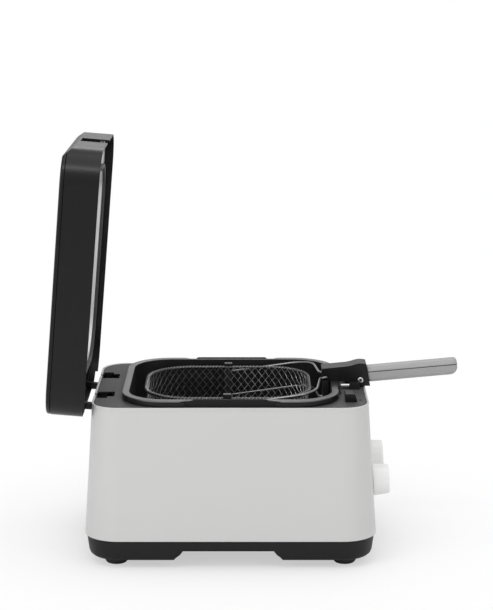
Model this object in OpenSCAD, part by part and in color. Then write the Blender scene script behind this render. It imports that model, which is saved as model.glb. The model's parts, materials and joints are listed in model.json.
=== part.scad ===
/* [Body] */
// Deck beyond the collar at each end
end_deck = 37.2; // [35:0.1:44]
// Deck beyond the collar at each side
side_deck = 5.5; // [4.8:0.1:16]
// How far each side leans in from the lower edge to the top
shell_lean = 10.8; // [6:0.2:13]
// Plan corner radius of the shell at its lower edge
body_corner = 44; // [36:1:60]
// Wall of the shell
shell_wall = 2.2; // [1.6:0.1:3]
// Height of the bright lip round the top of the shell
lip_h = 1.6; // [1:0.1:3]
// Height of the base tray's skirt
base_h = 26.5; // [22:0.5:36]
// Wall and floor of the base tray
base_wall = 2.4; // [1.8:0.1:3.2]
// Length of the hand recess in each long side of the tray, at its top
recess_len = 121; // [80:1:150]
// Height of the hand recess
recess_h = 15.5; // [10:0.5:18]
// Depth of the hand recess
recess_depth = 11; // [6:0.5:12]
// Height of the channel that runs under the body between the recesses
channel_h = 10; // [6:0.5:10.5]

/* [Feet] */
// Height of a foot under the tray
foot_h = 10.5; // [8:0.5:14]
// Diameter of a foot
foot_d = 30; // [20:1:34]
// From a foot's middle to the end of the shell
foot_end_in = 39.5; // [34:0.5:60]
// From a foot's middle to the side of the shell
foot_side_in = 36.3; // [32:0.1:50]

/* [Deck] */
// Thickness of the deck plate
deck_t = 2.5; // [2:0.1:3.5]
// Room between the bowl and the collar at each end
bowl_end_gap = 4; // [3:0.1:5]
// Room between the bowl and the collar at each side
bowl_side_gap = 4.5; // [3.5:0.1:5]
// Wall of the collar
collar_wall = 2.5; // [1.5:0.1:3]
// Height of the collar over the deck
collar_rise = 6; // [4:0.2:8]
// Depth of the collar's skirt under the deck
collar_skirt = 23; // [16:1:30]
// From each end of the collar's raised tabs to its corners
tab_in = 30; // [20:0.5:48]
// Height of a tab over the collar
tab_rise = 3.6; // [2:0.2:4]

/* [Well] */
// Height of the well's floor over the underside of the tray
well_lift = 16.7; // [15.5:0.1:24]
// Wall of the metal well
well_t = 0.8; // [0.6:0.1:1.5]
// Diameter of the hot plate
plate_d = 142; // [110:1:150]
// Thickness of the hot plate
plate_t = 8; // [5:0.5:11]
// Diameter of the heating tube
tube_d = 7; // [5:0.5:8]

/* [Bowl] */
// Length of the steel bowl
bowl_len = 256; // [230:1:282]
// Width of the steel bowl
bowl_wid = 226; // [203:1:248]
// Plan corner radius of the bowl
bowl_corner = 48; // [43:1:53]
// Thickness of the steel
steel_t = 0.8; // [0.6:0.1:1]
// Thickness of the non-stick lining
lining_t = 0.4; // [0.3:0.1:0.8]
// Height of the bowl from its shoulder to the top of the rim
bowl_h = 137.4; // [124:0.2:151]
// Width of the rim flange outside the steel
rim_over = 7.9; // [7:0.1:8.2]
// Thickness of the rim flange
rim_t = 2.2; // [1.6:0.1:3]
// Depth of the rim bands under the flange
band_drop = 5.6; // [3:0.2:5.6]
// How much wider than the bowl its round drum is
drum_over = 4.6; // [0:0.2:6]
// Height of the drum
drum_h = 20; // [16:0.5:24]
// Length of a bowl foot
bowl_foot_h = 27.6; // [24:0.2:32]
// Diameter of a bowl foot
bowl_foot_d = 16; // [10:0.5:18]

/* [Knobs] */
// Diameter of a knob at its base
knob_d = 40; // [30:0.5:46]
// Length of a knob
knob_len = 22; // [14:0.5:28]
// Height of the knobs above the worktop
knob_z = 94.5; // [80:0.5:110]
// Distance between the two knobs
knob_gap = 117; // [90:1:140]
// Diameter of a knob's shaft
shaft_d = 6; // [5:0.5:8]

/* [Lid] */
// How far each end of the lid stands back from the body
lid_set = 4.2; // [3.5:0.1:6]
// Height of the lid
lid_h = 48; // [46:0.5:56]
// Wall of the lid frame at its rim
lid_wall = 1.8; // [1.2:0.1:1.9]
// Thickness of the lid cover
cover_t = 5.8; // [4:0.2:7]
// Angle between the closed lid and the open lid
lid_open = 85.3; // [75:0.1:88]
// Diameter of a hinge pin
hinge_pin_d = 5; // [4:0.5:6]

/* [Basket] */
// Room between the basket's rim and the bowl at each end
basket_end_gap = 24; // [22.5:0.5:30]
// Room between the basket's rim and the bowl at each side
basket_side_gap = 25.5; // [25:0.5:30]
// Depth of the basket
basket_h = 76; // [66:1:84]
// Diameter of the rim wire
rim_wire_d = 3.5; // [2.5:0.1:4]
// Number of mesh diamonds round the basket
mesh_cols = 32; // [24:8:40]
// Thickness of the mesh
mesh_t = 1; // [0.8:0.1:1.4]

/* [Handle] */
// Tilt of the arms with the basket raised
arm_tilt = 8; // [6:0.5:10]
// Diameter of the arm wire
arm_wire_d = 3.2; // [2.6:0.1:3.6]
// Distance between the upper and the lower pivots
pivot_gap = 32; // [28:1:34]
// Width of the handle head
head_wid = 28; // [24:0.5:30]
// Length of the grip
grip_len = 113; // [90:1:130]
// Width of the grip
grip_wid = 26; // [20:0.5:30]
// Height of the grip
grip_high = 20; // [16:0.5:22]

/* [Hidden] */

$fn = 48;
eps = 0.01;
seat_gap = 0.3;      // between pieces that rest on each other across a joint
fit_gap = 0.3;       // between pieces that are assembled once
run_gap = 0.06;      // round a turning pin, on the radius

// heights, from the worktop up
tray_z = foot_h;
shell_z = tray_z + base_h;
well_floor = tray_z + well_lift;
bowl_foot_z = well_floor + seat_gap;
drum_z = bowl_foot_z + bowl_foot_h;
shoulder_z = drum_z + drum_h;
rim_top = shoulder_z + bowl_h;
rim_under = rim_top - rim_t;
collar_top = rim_under - seat_gap;
top_z = collar_top - collar_rise;
shell_h = top_z - shell_z;

// lengths and widths, from the bowl out
collar_len = bowl_len + 2 * (bowl_end_gap + collar_wall);
collar_wid = bowl_wid + 2 * (bowl_side_gap + collar_wall);
top_len = collar_len + 2 * end_deck;
top_wid = collar_wid + 2 * side_deck;
body_len = top_len + 2 * shell_lean;
body_wid = top_wid + 2 * shell_lean;
lid_len = top_len - 2 * lid_set;
lid_wid = top_wid;
foot_dx = body_len - 2 * foot_end_in;
foot_dy = body_wid - 2 * foot_side_in;
lean_deg = atan(shell_lean / shell_h);
// how far the shell's side has leaned in at a height
function lean_at(z) = shell_lean * (z - shell_z) / shell_h;

collar_corner = bowl_corner + (collar_len - bowl_len) / 2;
tab_len = collar_len - 2 * (collar_corner + tab_in);
drum_d = min(bowl_wid + drum_over, bowl_len - 6);
bowl_turn = 15;      // radius between the bowl's side and its shoulder

// lid, in its closed place
hinge_x = 9.7 - top_len / 2;
hinge_z = top_z - 17;
hinge_y = top_wid / 2 - 71.5;
lid_gap = 1.5;       // between the deck and the closed lid's rim
lid_z = top_z + lid_gap;
lid_x = 1;           // middle of the closed lid
lid_front = lid_x + lid_len / 2;
lid_rear = lid_x - lid_len / 2;
lid_corner = 42;

// handle and basket
pivot_x = bowl_len / 2 - 5.5;
pivot_z = rim_top + 5;
basket_x = -4;
basket_len = bowl_len - 2 * basket_end_gap;
basket_wid = bowl_wid - 2 * basket_side_gap;
basket_corner = bowl_corner + 10;
arm_len = (pivot_x - basket_x) / cos(arm_tilt);
bracket_z = pivot_z - arm_len * sin(arm_tilt);
basket_rim_z = bracket_z + 7.4;
basket_y = basket_wid / 2;
strap_t = 1.5;
strap_in = basket_y + rim_wire_d / 2 + 0.15;
arm_y = strap_in + strap_t + arm_wire_d / 2 + 0.7;
arm_end_y = head_wid / 2 + arm_wire_d / 2 + 0.6;

// ---------------------------------------------------------------- forms
// A body with a rounded rectangular plan. pts run from the bottom to the top as
// [how far in from the side, height], and every side and corner follows them.
module profiled(len, wid, r, pts) {
    n = len(pts) - 1;
    function side(reach) = [for (p = pts) [reach - p[0], p[1]]];
    function whole(reach) = concat(
        side(reach), [for (i = [n:-1:0]) [-(reach - pts[i][0]), pts[i][1]]]);
    function half(reach, from) = concat(
        [[from, pts[0][1]]], side(reach), [[from, pts[n][1]]]);
    rotate([90, 0, 90])
        linear_extrude(len - 2 * r, center = true) polygon(whole(wid / 2));
    for (end = [0, 1]) mirror([end, 0, 0]) {
        rotate([90, 0, 0])
            linear_extrude(wid - 2 * r, center = true)
                polygon(half(len / 2, len / 2 - r));
        for (flip = [0, 1]) mirror([0, flip, 0])
            translate([len / 2 - r, wid / 2 - r, 0])
                rotate_extrude(angle = 90) polygon(half(r, 0));
    }
}

// A plain block with a rounded rectangular plan
module block(len, wid, r, z0, z1) {
    profiled(len, wid, r, [[0, z0], [0, z1]]);
}

// A ring: the block less a smaller one, wall thick
module ring(len, wid, r, wall, z0, z1) {
    difference() {
        block(len, wid, r, z0, z1);
        block(len - 2 * wall, wid - 2 * wall, r - wall, z0 - 1, z1 + 1);
    }
}

// Side profile of a quarter turn of radius r, from [r, z] up to [0, z + r]
function turn(r, z, steps = 5) =
    [for (i = [0:steps]) [r * (1 - sin(90 * i / steps)), z + r * (1 - cos(90 * i / steps))]];

// A plan at thickness t across the body, from an outline in X and Z
module side_plate(y0, y1) {
    translate([0, y1, 0]) rotate([90, 0, 0]) linear_extrude(y1 - y0) children();
}

// A cylinder lying across the body
module cross_pin(x, z, d, y0, y1) {
    translate([x, y1, z]) rotate([90, 0, 0]) cylinder(h = y1 - y0, d = d);
}

module both_sides() {
    children();
    mirror([0, 1, 0]) children();
}

module four_corners(dx, dy) {
    for (x = [-1, 1]) for (y = [-1, 1]) translate([x * dx / 2, y * dy / 2, 0]) children();
}

// ---------------------------------------------------------------- housing
screw_d = 3.9;
screw_dx = body_len - 2 * shell_wall - 26;
screw_dy = body_wid - 152.6;

function shell_side(in, z0, z1) = [[in + lean_at(z0), z0], [in + lean_at(z1), z1]];

// Places children on the front wall of the shell at a knob, +Z out of the wall
module at_knob(y) {
    translate([body_len / 2 - lean_at(knob_z), y, knob_z]) rotate([0, 90 - lean_deg, 0]) children();
}

module knob_pair() {
    for (y = [-knob_gap / 2, knob_gap / 2]) at_knob(y) children();
}

gland_y = body_wid / 2 - 66.3;
gland_z = shell_z + 18;
gland_d = 14;

module at_gland() {
    translate([-body_len / 2 + lean_at(gland_z), gland_y, gland_z])
        rotate([0, lean_deg - 90, 0]) children();
}

arm_notch = 12;      // width of the slot that a hinge arm passes through

module outer_shell() color("gainsboro") difference() {
    union() {
        difference() {
            union() {
                profiled(body_len, body_wid, body_corner, shell_side(0, shell_z, top_z));
                profiled(body_len, body_wid, body_corner,
                    [[lean_at(top_z) - 0.45, top_z - lip_h + 0.5],
                     [lean_at(top_z) - 0.45, top_z],
                     [lean_at(top_z) + 0.4, top_z + 0.5]]);
            }
            profiled(body_len, body_wid, body_corner,
                shell_side(shell_wall, shell_z - 1, top_z + 1));
        }
        // ledge that carries the deck
        difference() {
            profiled(body_len, body_wid, body_corner,
                shell_side(shell_wall - eps, top_z - deck_t - 3, top_z - deck_t - fit_gap));
            profiled(body_len, body_wid, body_corner,
                shell_side(shell_wall + 3, top_z - deck_t - 4, top_z));
            // room for the tub under the handle's pocket
            translate([pocket_x0, -pocket_wid / 2 - 2.4, pocket_z])
                cube([pocket_x1 + 2.4 - pocket_x0, pocket_wid + 4.8, 20]);
        }
        // screw lugs in the two end walls
        for (end = [0, 1]) mirror([end, 0, 0]) both_sides()
            translate([screw_dx / 2 - 7, screw_dy / 2 - 7, shell_z])
                cube([body_len / 2 - lean_at(shell_z + 12) - shell_wall / 2 - screw_dx / 2 + 7,
                    14, 12]);
    }
    knob_pair() translate([0, 0, -15]) cylinder(h = 30, d = shaft_d + 3);
    at_gland() translate([0, 0, -10]) cylinder(h = 20, d = gland_d);
    four_corners(screw_dx, screw_dy)
        translate([0, 0, shell_z - 1]) cylinder(h = 11, d = screw_d + 0.04);
    both_sides() translate([-body_len / 2, hinge_y - arm_notch / 2, hinge_z - 4.5])
        cube([body_len / 2 + hinge_x + 2, arm_notch, 40]);
}

tray_in = 2;         // how far the tray's skirt stands inside the shell's edge
tray_pts = [
    [tray_in + 7, tray_z], [tray_in + 4.2, tray_z + 2.5],
    [tray_in + 2.8, tray_z + 6], [tray_in, shell_z - 0.3]
];

recess_x = -2.5;     // middle of the recesses
recess_flare = 8;    // how much wider each end of a recess is at the bottom

// Outline of a hand recess or of the channel between them, in X and Z
module recess_outline(rise, grow) {
    half = recess_len / 2 + grow;
    top = tray_z + rise + grow;
    low = tray_z - 1;
    translate([recess_x, 0]) polygon([
        [-half - recess_flare, low], [-half, top - 5], [-half + 4, top],
        [half - 4, top], [half, top - 5], [half + recess_flare, low]]);
}

module base_tray() color("#1c1c1d") difference() {
    union() {
        difference() {
            profiled(body_len, body_wid, body_corner, tray_pts);
            profiled(body_len, body_wid, body_corner,
                [[tray_in + 9, tray_z + base_wall], [tray_in + 5.2, tray_z + 6],
                 [tray_in + base_wall, shell_z + 1]]);
        }
        // rim that stands up inside the shell
        difference() {
            profiled(body_len, body_wid, body_corner,
                [[shell_wall + 1, shell_z - 8], [shell_wall + 1, shell_z + 6]]);
            profiled(body_len, body_wid, body_corner,
                [[shell_wall + 3, shell_z - 9], [shell_wall + 3, shell_z + 7]]);
        }
        // walls of the hand recesses and roof of the channel
        intersection() {
            profiled(body_len, body_wid, body_corner, tray_pts);
            union() {
                both_sides()
                    side_plate(body_wid / 2 - recess_depth - tray_in - base_wall, body_wid / 2)
                        recess_outline(recess_h, base_wall);
                side_plate(-body_wid / 2, body_wid / 2) recess_outline(channel_h, base_wall);
            }
        }
        // screw bosses
        intersection() {
            four_corners(screw_dx, screw_dy)
                translate([0, 0, tray_z]) cylinder(h = base_h - fit_gap, d = 11);
            profiled(body_len, body_wid, body_corner, tray_pts);
        }
    }
    both_sides() side_plate(body_wid / 2 - recess_depth - tray_in, body_wid)
        recess_outline(recess_h, 0);
    side_plate(-body_wid, body_wid) recess_outline(channel_h, 0);
    four_corners(screw_dx, screw_dy) {
        translate([0, 0, tray_z - 1]) cylinder(h = base_h + 10, d = screw_d + 0.4);
        translate([0, 0, tray_z - 1]) cylinder(h = 9, d = 8.4);
    }
    four_corners(foot_dx, foot_dy) translate([0, 0, tray_z - 1]) cylinder(h = 9, d = 8.2);
    // screw lugs of the shell reach down past the rim
    for (end = [0, 1]) mirror([end, 0, 0]) both_sides()
        translate([screw_dx / 2 - 7.6, screw_dy / 2 - 7.6, shell_z - 0.2])
            cube([30, 15.2, 20]);
}

module feet() color("#232323") four_corners(foot_dx, foot_dy) {
    rotate_extrude() polygon([
        [0, 0], [foot_d / 2 - 6, 0], [foot_d / 2 - 3, 0.8], [foot_d / 2 - 1, 2.6],
        [foot_d / 2, 5.5], [foot_d / 2, tray_z - 0.05], [0, tray_z - 0.05]]);
    translate([0, 0, tray_z - 1]) cylinder(h = base_wall + 1, d = 8);
    translate([0, 0, tray_z + base_wall]) cylinder(h = 3, d1 = 7.6, d2 = 5);
}

module base_screws() color("silver") four_corners(screw_dx, screw_dy) {
    translate([0, 0, tray_z + 5]) cylinder(h = 3 - 0.05, d = 7.6);
    translate([0, 0, tray_z + 6]) cylinder(h = base_h + 2, d = screw_d);
}

module cord_gland() color("#1e1e1e") at_gland() difference() {
    union() {
        translate([0, 0, 0.05]) cylinder(h = 4, d1 = gland_d + 7, d2 = gland_d + 5);
        translate([0, 0, -7]) cylinder(h = 8, d = gland_d - 0.2);
        translate([0, 0, -7]) cylinder(h = 4, d = gland_d - 0.1);
    }
    translate([0, 0, -10]) cylinder(h = 30, d = 7.4);
}

module terminal_block() color("ivory")
    translate([26.5 - body_len / 2, -18, tray_z + base_wall + 0.05]) difference() {
        cube([16, 36, 15]);
        for (i = [0:2]) translate([8, 6 + 12 * i, 4]) cylinder(h = 20, d = 5);
        for (i = [0:2]) translate([-1, 6 + 12 * i, 5.5]) rotate([0, 90, 0])
            cylinder(h = 20, d = 3.6);
    }

// ---------------------------------------------------------------- deck
deck_in = shell_wall + fit_gap;      // how far the deck stands inside the shell
lug_in = 16.7;                       // from the middle of a hinge to its lugs
lug_t = 3;
barrel_d = 13;
foot_x0 = 23.1;                      // the handle's foot, from the arms' upper pivot
foot_x1 = 39.5;
foot_wid = head_wid - 6;
pocket_x0 = pivot_x + foot_x0 - 1;
pocket_x1 = pivot_x + foot_x1 + 1;
pocket_wid = foot_wid + 2;
foot_deep = 8.6;                     // foot's lower end, below the deck's top
pocket_z = top_z - foot_deep - 5.4;  // room for drips under the foot
rest_d = 5.4;                        // steel pin beside the pocket, held in a block
rest_y = -22.2;
rest_z = top_z + 4.2;
rest_x = pivot_x + 18;

// Slot for one hinge: a wide part over the barrel, a narrow one to the rear edge
module hinge_slot() {
    translate([hinge_x - 6, hinge_y - lug_in, top_z - 10]) cube([13, 2 * lug_in, 20]);
    translate([hinge_x - 14, hinge_y - arm_notch / 2, top_z - 12])
        cube([20, arm_notch, 20]);
    translate([hinge_x + 6, hinge_y - lug_in, top_z - 10]) cube([9.5, 25, 20]);
}

module collar_tab() {
    both_sides() side_plate(collar_wid / 2 - collar_wall, collar_wid / 2)
        polygon([[-tab_len / 2 - 2, collar_top - 1], [-tab_len / 2, collar_top],
                 [-tab_len / 2 + 5, collar_top + tab_rise],
                 [tab_len / 2 - 5, collar_top + tab_rise],
                 [tab_len / 2, collar_top], [tab_len / 2 + 2, collar_top - 1]]);
}

module deck() color("#4a4a4b") difference() {
    union() {
        difference() {
            union() {
                profiled(body_len, body_wid, body_corner,
                    [[deck_in + lean_at(top_z), top_z - deck_t],
                     [deck_in + lean_at(top_z), top_z - 0.6],
                     [deck_in + lean_at(top_z) + 0.6, top_z]]);
                block(collar_len, collar_wid, collar_corner,
                    top_z - collar_skirt, collar_top);
            }
            block(collar_len - 2 * collar_wall, collar_wid - 2 * collar_wall,
                collar_corner - collar_wall, top_z - collar_skirt - 1, collar_top + 1);
        }
        collar_tab();
        // guide ribs that centre the bowl
        both_sides() for (x = [-60, 55])
            translate([x - 1.5, collar_wid / 2 - collar_wall - 1.6, top_z - collar_skirt])
                cube([3, 2, collar_skirt + 2]);
        for (end = [0, 1]) mirror([end, 0, 0]) for (y = [-38, 38])
            translate([collar_len / 2 - collar_wall - 1.6, y - 1.5, top_z - collar_skirt])
                cube([2, 3, collar_skirt + 2]);
        // lugs that hold the hinge pins
        both_sides() for (y = [hinge_y - lug_in - lug_t, hinge_y + lug_in])
            difference() {
                translate([hinge_x - 4.4, y, hinge_z - 5])
                    cube([10, lug_t, top_z - deck_t - hinge_z + 5 + eps]);
                cross_pin(hinge_x, hinge_z, hinge_pin_d + 0.04, y - 1, y + lug_t + 1);
            }
        // tub of the pocket that takes the handle's foot
        translate([pocket_x0 - 2, -pocket_wid / 2 - 2, pocket_z - 2])
            cube([pocket_x1 - pocket_x0 + 4, pocket_wid + 4, top_z - deck_t - pocket_z + 2 + eps]);
        // block that holds the steel pin, and a low block on the other side of the pocket
        translate([rest_x + 10.5, rest_y - 5.8, top_z - eps]) cube([13, 11.6, 8.2]);
        translate([pivot_x + 15.5, 21, top_z - eps]) cube([13, 28, 5]);
    }
    both_sides() hinge_slot();
    translate([pocket_x0, -pocket_wid / 2, pocket_z])
        cube([pocket_x1 - pocket_x0, pocket_wid, 20]);
    // bore for the steel pin
    translate([rest_x, rest_y, rest_z]) rotate([0, 90, 0]) cylinder(h = 15, d = rest_d + 0.04);
    // groove before the collar
    translate([collar_len / 2 + 1.2, -52, top_z - 1.3]) cube([3.6, 70, 3]);
    // drain holes by the catches
    both_sides() translate([pivot_x + 39.5, top_wid / 2 - 44, top_z - 5])
        cylinder(h = 10, d = 4.4);
}

catch_len = 16;
catch_x = pivot_x + 20.1;
catch_h = 10.4;
catch_ys = [[31.5 - top_wid / 2, 53.5 - top_wid / 2], [top_wid / 2 - 68.5, top_wid / 2 - 49.5]];

module lid_catches() color("#2b2b2c") for (y = catch_ys)
    side_plate(y[0], y[1]) polygon([
        [catch_x, top_z + 0.05], [catch_x + catch_len - 1, top_z + 0.05],
        [catch_x + catch_len - 3.5, top_z + catch_h - 0.8],
        [catch_x + catch_len - 5, top_z + catch_h],
        [catch_x + 0.6, top_z + catch_h], [catch_x, top_z + catch_h - 0.6]]);

module handle_rest_pin() color("silver")
    translate([rest_x, rest_y, rest_z]) rotate([0, 90, 0]) cylinder(h = 14.5, d = rest_d);

module hinge_pins() color("silver") both_sides() {
    cross_pin(hinge_x, hinge_z, hinge_pin_d, hinge_y - lug_in - lug_t, hinge_y + lug_in + lug_t);
    cross_pin(hinge_x, hinge_z, hinge_pin_d + 3,
        hinge_y + lug_in + lug_t + 0.05, hinge_y + lug_in + lug_t + 1.8);
}

// ---------------------------------------------------------------- well and heater
well_len = collar_len + 2 * fit_gap + 2 * well_t;
well_wid = collar_wid + 2 * fit_gap + 2 * well_t;
well_corner = collar_corner + fit_gap + well_t;
well_top = top_z - collar_skirt + 9;
plate_z = drum_z - seat_gap - plate_t;
tube_r = plate_d / 2 - 19;
tube_z = plate_z - tube_d / 2 - 0.05;
lead_a = 16;          // half the angle between the two leads of the tube

module at_leads() {
    for (s = [-1, 1]) rotate([0, 0, s * lead_a]) translate([tube_r, 0, 0]) children();
}

module at_posts() {
    for (a = [45, 165, 285]) rotate([0, 0, a]) translate([plate_d / 2 - 9, 0, 0]) children();
}

module well_liner() color("#8d8b87") difference() {
    union() {
        profiled(well_len, well_wid, well_corner,
            concat(turn(8, well_floor - well_t), [[0, well_top]]));
        profiled(well_len, well_wid, well_corner,
            [[2.9 - side_deck, well_top - 1], [2.9 - side_deck, well_top]]);
    }
    profiled(well_len, well_wid, well_corner,
        concat([for (p = turn(8 - well_t, well_floor)) [p[0] + well_t, p[1]]],
            [[well_t, well_top + 1]]));
    at_leads() translate([0, 0, well_floor - 5]) cylinder(h = 10, d = tube_d + 3);
}

module hot_plate() color("#9c9c9a") difference() {
    union() {
        translate([0, 0, plate_z + 2]) cylinder(h = plate_t - 2.6, d = plate_d);
        translate([0, 0, plate_z + plate_t - 0.6 - eps])
            cylinder(h = 0.6 + eps, d1 = plate_d, d2 = plate_d - 1.6);
        translate([0, 0, plate_z]) cylinder(h = 3, d = plate_d - 8);
    }
    // clamp bore for the cutout, and a groove that seats the tube
    translate([0, 0, plate_z - 1]) cylinder(h = 3, d = 19);
    rotate_extrude() translate([tube_r, tube_z]) circle(d = tube_d + 0.2, $fn = 24);
}

module hot_plate_posts() color("silver") at_posts() {
    translate([0, 0, well_floor + 0.05]) cylinder(h = plate_z - well_floor - 0.1, d = 8);
    translate([0, 0, well_floor + 0.05]) cylinder(h = 1.6, d = 13);
}

module heating_element() color("#5c5a56") {
    rotate([0, 0, lead_a]) rotate_extrude(angle = 360 - 2 * lead_a)
        translate([tube_r, tube_z]) circle(d = tube_d, $fn = 24);
    // sleeves that lead the ends down through the well's floor
    at_leads() translate([0, 0, well_floor - well_t - 2])
        cylinder(h = tube_z - well_floor + well_t + 4.6, d = tube_d + 1.6);
}

module thermal_cutout() color("#b8b4aa") {
    translate([0, 0, plate_z - 7]) cylinder(h = 8.9, d = 18.6);
    translate([0, 0, plate_z - 9.5]) cylinder(h = 3, d = 12);
}

// ---------------------------------------------------------------- controls
module control_box(y, wide, high) {
    depth = 22;
    at_knob(y) translate([0, 0, -shell_wall - depth - 3]) difference() {
        union() {
            translate([-high / 2, -wide / 2, 0]) cube([high, wide, depth]);
            translate([0, 0, depth - eps]) cylinder(h = 2.6, d = shaft_d + 8);
        }
        translate([0, 0, depth - 10]) cylinder(h = 20, d = shaft_d + 2 * run_gap);
    }
}

module shaft(y) {
    at_knob(y) translate([0, 0, -shell_wall - 12.6])
        cylinder(h = 12.6 + shell_wall + 15, d = shaft_d);
}

module knob(y) {
    at_knob(y) difference() {
        rotate_extrude() polygon([
            [0, 0.8], [knob_d / 2 - 0.6, 0.8], [knob_d / 2, 1.4], [knob_d / 2, 3.4],
            [knob_d / 2 - 1.7, knob_len - 1.2], [knob_d / 2 - 2.1, knob_len - 0.35],
            [knob_d / 2 - 3, knob_len], [knob_d / 2 - 5, knob_len - 0.3],
            [0, knob_len - 0.3]]);
        translate([0, 0, -1]) cylinder(h = 16.2, d = shaft_d + 0.04);
        // pointer groove
        translate([-knob_d / 2 + 3, -0.8, knob_len - 0.9]) cube([11, 1.6, 3]);
    }
}

module thermostat() color("#c9c2b0") control_box(-knob_gap / 2, 34, 40);
module timer() color("#d8d4c8") control_box(knob_gap / 2, 40, 44);
module thermostat_shaft() color("silver") shaft(-knob_gap / 2);
module timer_shaft() color("silver") shaft(knob_gap / 2);
module thermostat_knob() color("whitesmoke") knob(-knob_gap / 2);
module timer_knob() color("whitesmoke") knob(knob_gap / 2);

// ---------------------------------------------------------------- lid
frame_top = lid_z + lid_h - cover_t;
pan_z = rim_top + 2.7;               // underside of the liner's flange
pan_top = frame_top - 4.6;
notch_wid = head_wid + 6;
notch_top = rim_top + 27;
nose = 11;                           // depth of the solid front end
compartment = 26;                    // length of the hinge compartment
filter_x = lid_x - lid_len / 4;      // middle of the filter and of the steam vents

// Puts the closed lid in its open place
module opened() {
    translate([hinge_x, 0, hinge_z]) rotate([0, -lid_open, 0])
        translate([-hinge_x, 0, -hinge_z]) children();
}

module lid_form(in, z0, z1) {
    translate([lid_x, 0, 0]) profiled(lid_len, lid_wid, lid_corner, [[in, z0], [in, z1]]);
}

// Slanted cut along the front edge of the top
module front_bevel() {
    translate([lid_front + 1, -lid_wid, lid_z + lid_h - 12])
        rotate([0, -42, 0]) cube([30, 2 * lid_wid, 30]);
}

// Way for the basket handle through the front of the lid
module handle_way(extra) {
    translate([pivot_x - 14.5, -notch_wid / 2 - extra, lid_z - 5])
        cube([lid_front - pivot_x + 30, notch_wid + 2 * extra, notch_top - lid_z + 5 + extra]);
}

module lid_frame() color("#222223") opened() difference() {
    lid_form(0, lid_z, frame_top);
    lid_form(lid_wall, lid_z - 1, pan_z + 1.5);
    intersection() {
        lid_form(4, pan_z, frame_top - 2.4);
        translate([lid_rear, -lid_wid, 0]) cube([lid_len - nose, 2 * lid_wid, 400]);
    }
    // opening that the cover and the filter close
    translate([lid_x, 0, 0]) block(lid_len - 60, lid_wid - 50, 30, frame_top - 10, frame_top + 1);
    // the rear edge stands clear of the shell as it swings
    translate([lid_rear - 5, -lid_wid / 2 + 13, lid_z - 1]) cube([17, lid_wid - 26, 4.2]);
    handle_way(0);
    front_bevel();
}

module lid_cover() color("#2a2a2b") opened() difference() {
    translate([lid_x, 0, 0]) profiled(lid_len, lid_wid, lid_corner,
        [[1.4, frame_top + 0.05], [0.4, frame_top + 1], [0.4, frame_top + cover_t - 2.6],
         [1.2, frame_top + cover_t - 0.8], [3, frame_top + cover_t]]);
    // the underside is hollow over the filter
    translate([lid_x, 0, 0]) block(lid_len - 64, lid_wid - 54, 28, frame_top - 1,
        frame_top + cover_t - 2.6);
    // steam vents
    for (i = [-3:3]) translate([filter_x - 20, i * 9 - 1.6, frame_top + cover_t - 4])
        cube([40, 3.2, 10]);
    front_bevel();
}

module lid_liner() color("#8f8f8d") opened() difference() {
    union() {
        // flange that closes the frame
        intersection() {
            lid_form(4 + fit_gap, pan_z + 1.6, pan_z + 2.4);
            translate([lid_rear + compartment, -lid_wid, 0])
                cube([lid_len - compartment - nose - fit_gap, 2 * lid_wid, 400]);
        }
        block(bowl_len - 2, bowl_wid - 2, bowl_corner, pan_z + 1.6, pan_top);
    }
    profiled(bowl_len - 2 - 2 * well_t, bowl_wid - 2 - 2 * well_t, bowl_corner - well_t,
        [[0, pan_z - 1], [0, pan_top - well_t - 6], [2, pan_top - well_t - 2],
         [6, pan_top - well_t]]);
    // steam slots under the filter
    for (i = [-3:3]) translate([filter_x - 20, i * 9 - 2, pan_top - 5]) cube([40, 4, 10]);
    handle_way(1);
}

module lid_seal() color("#3a3a3a") opened() difference() {
    ring(bowl_len + 7.6, bowl_wid + 7.6, bowl_corner + 3.8, 4.4, rim_top + seat_gap, pan_z + 1.55);
    handle_way(6);
}

module filter_mat() color("#e4e2da") opened()
    translate([filter_x, 0, 0]) block(90, 110, 12, pan_top + 0.3, frame_top + cover_t - 2.9);

arm_back = lid_rear + 4.2;            // rear of the arms, inside the lid's rear wall

module hinge_arms() color("#1d1d1e") opened() both_sides() difference() {
    union() {
        side_plate(hinge_y - 4.5, hinge_y + 4.5) polygon([
            [hinge_x - 2.2, hinge_z], [hinge_x - 2.2, pan_z - 2], [arm_back, pan_z],
            [arm_back, frame_top - 2.45], [hinge_x + 20, frame_top - 2.45],
            [hinge_x + 20, frame_top - 9],
            [hinge_x + 7, pan_z + 5], [hinge_x + 5.5, lid_z], [hinge_x + 5.5, hinge_z]]);
        cross_pin(hinge_x, hinge_z, barrel_d, hinge_y - lug_in + 0.4, hinge_y + lug_in - 0.4);
        translate([arm_back, hinge_y - 14, frame_top - 5.4]) cube([22, 28, 2.95]);
    }
    cross_pin(hinge_x, hinge_z, hinge_pin_d + 2 * run_gap, hinge_y - 30, hinge_y + 30);
}

// ---------------------------------------------------------------- bowl
function bowl_pts(in, z_low, z_top) = concat(
    [for (p = turn(bowl_turn - in, z_low)) [p[0] + in, p[1]]], [[in, z_top]]);
gap_len = tab_len + 12;              // break in the rim bands, round a collar tab
rim_len = bowl_len + 2 * rim_over;
rim_wid = bowl_wid + 2 * rim_over + 3.2;
rim_corner = bowl_corner + rim_over;

module drum(in, z) {
    translate([0, 0, z]) rotate_extrude() polygon([
        [0, 0], [drum_d / 2 - 4 - in * 0.6, 0], [drum_d / 2 - 1.2 - in, 1.2],
        [drum_d / 2 - in, 4], [drum_d / 2 - in, drum_h + 5], [0, drum_h + 5]]);
}

// The drum bulges a little past the long sides, and fades into them higher up
module drum_blend(in) {
    translate([0, 0, shoulder_z + 4]) cylinder(
        h = 15, d1 = drum_d - 2 * in, d2 = bowl_wid - 3 - 2 * in);
}

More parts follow.
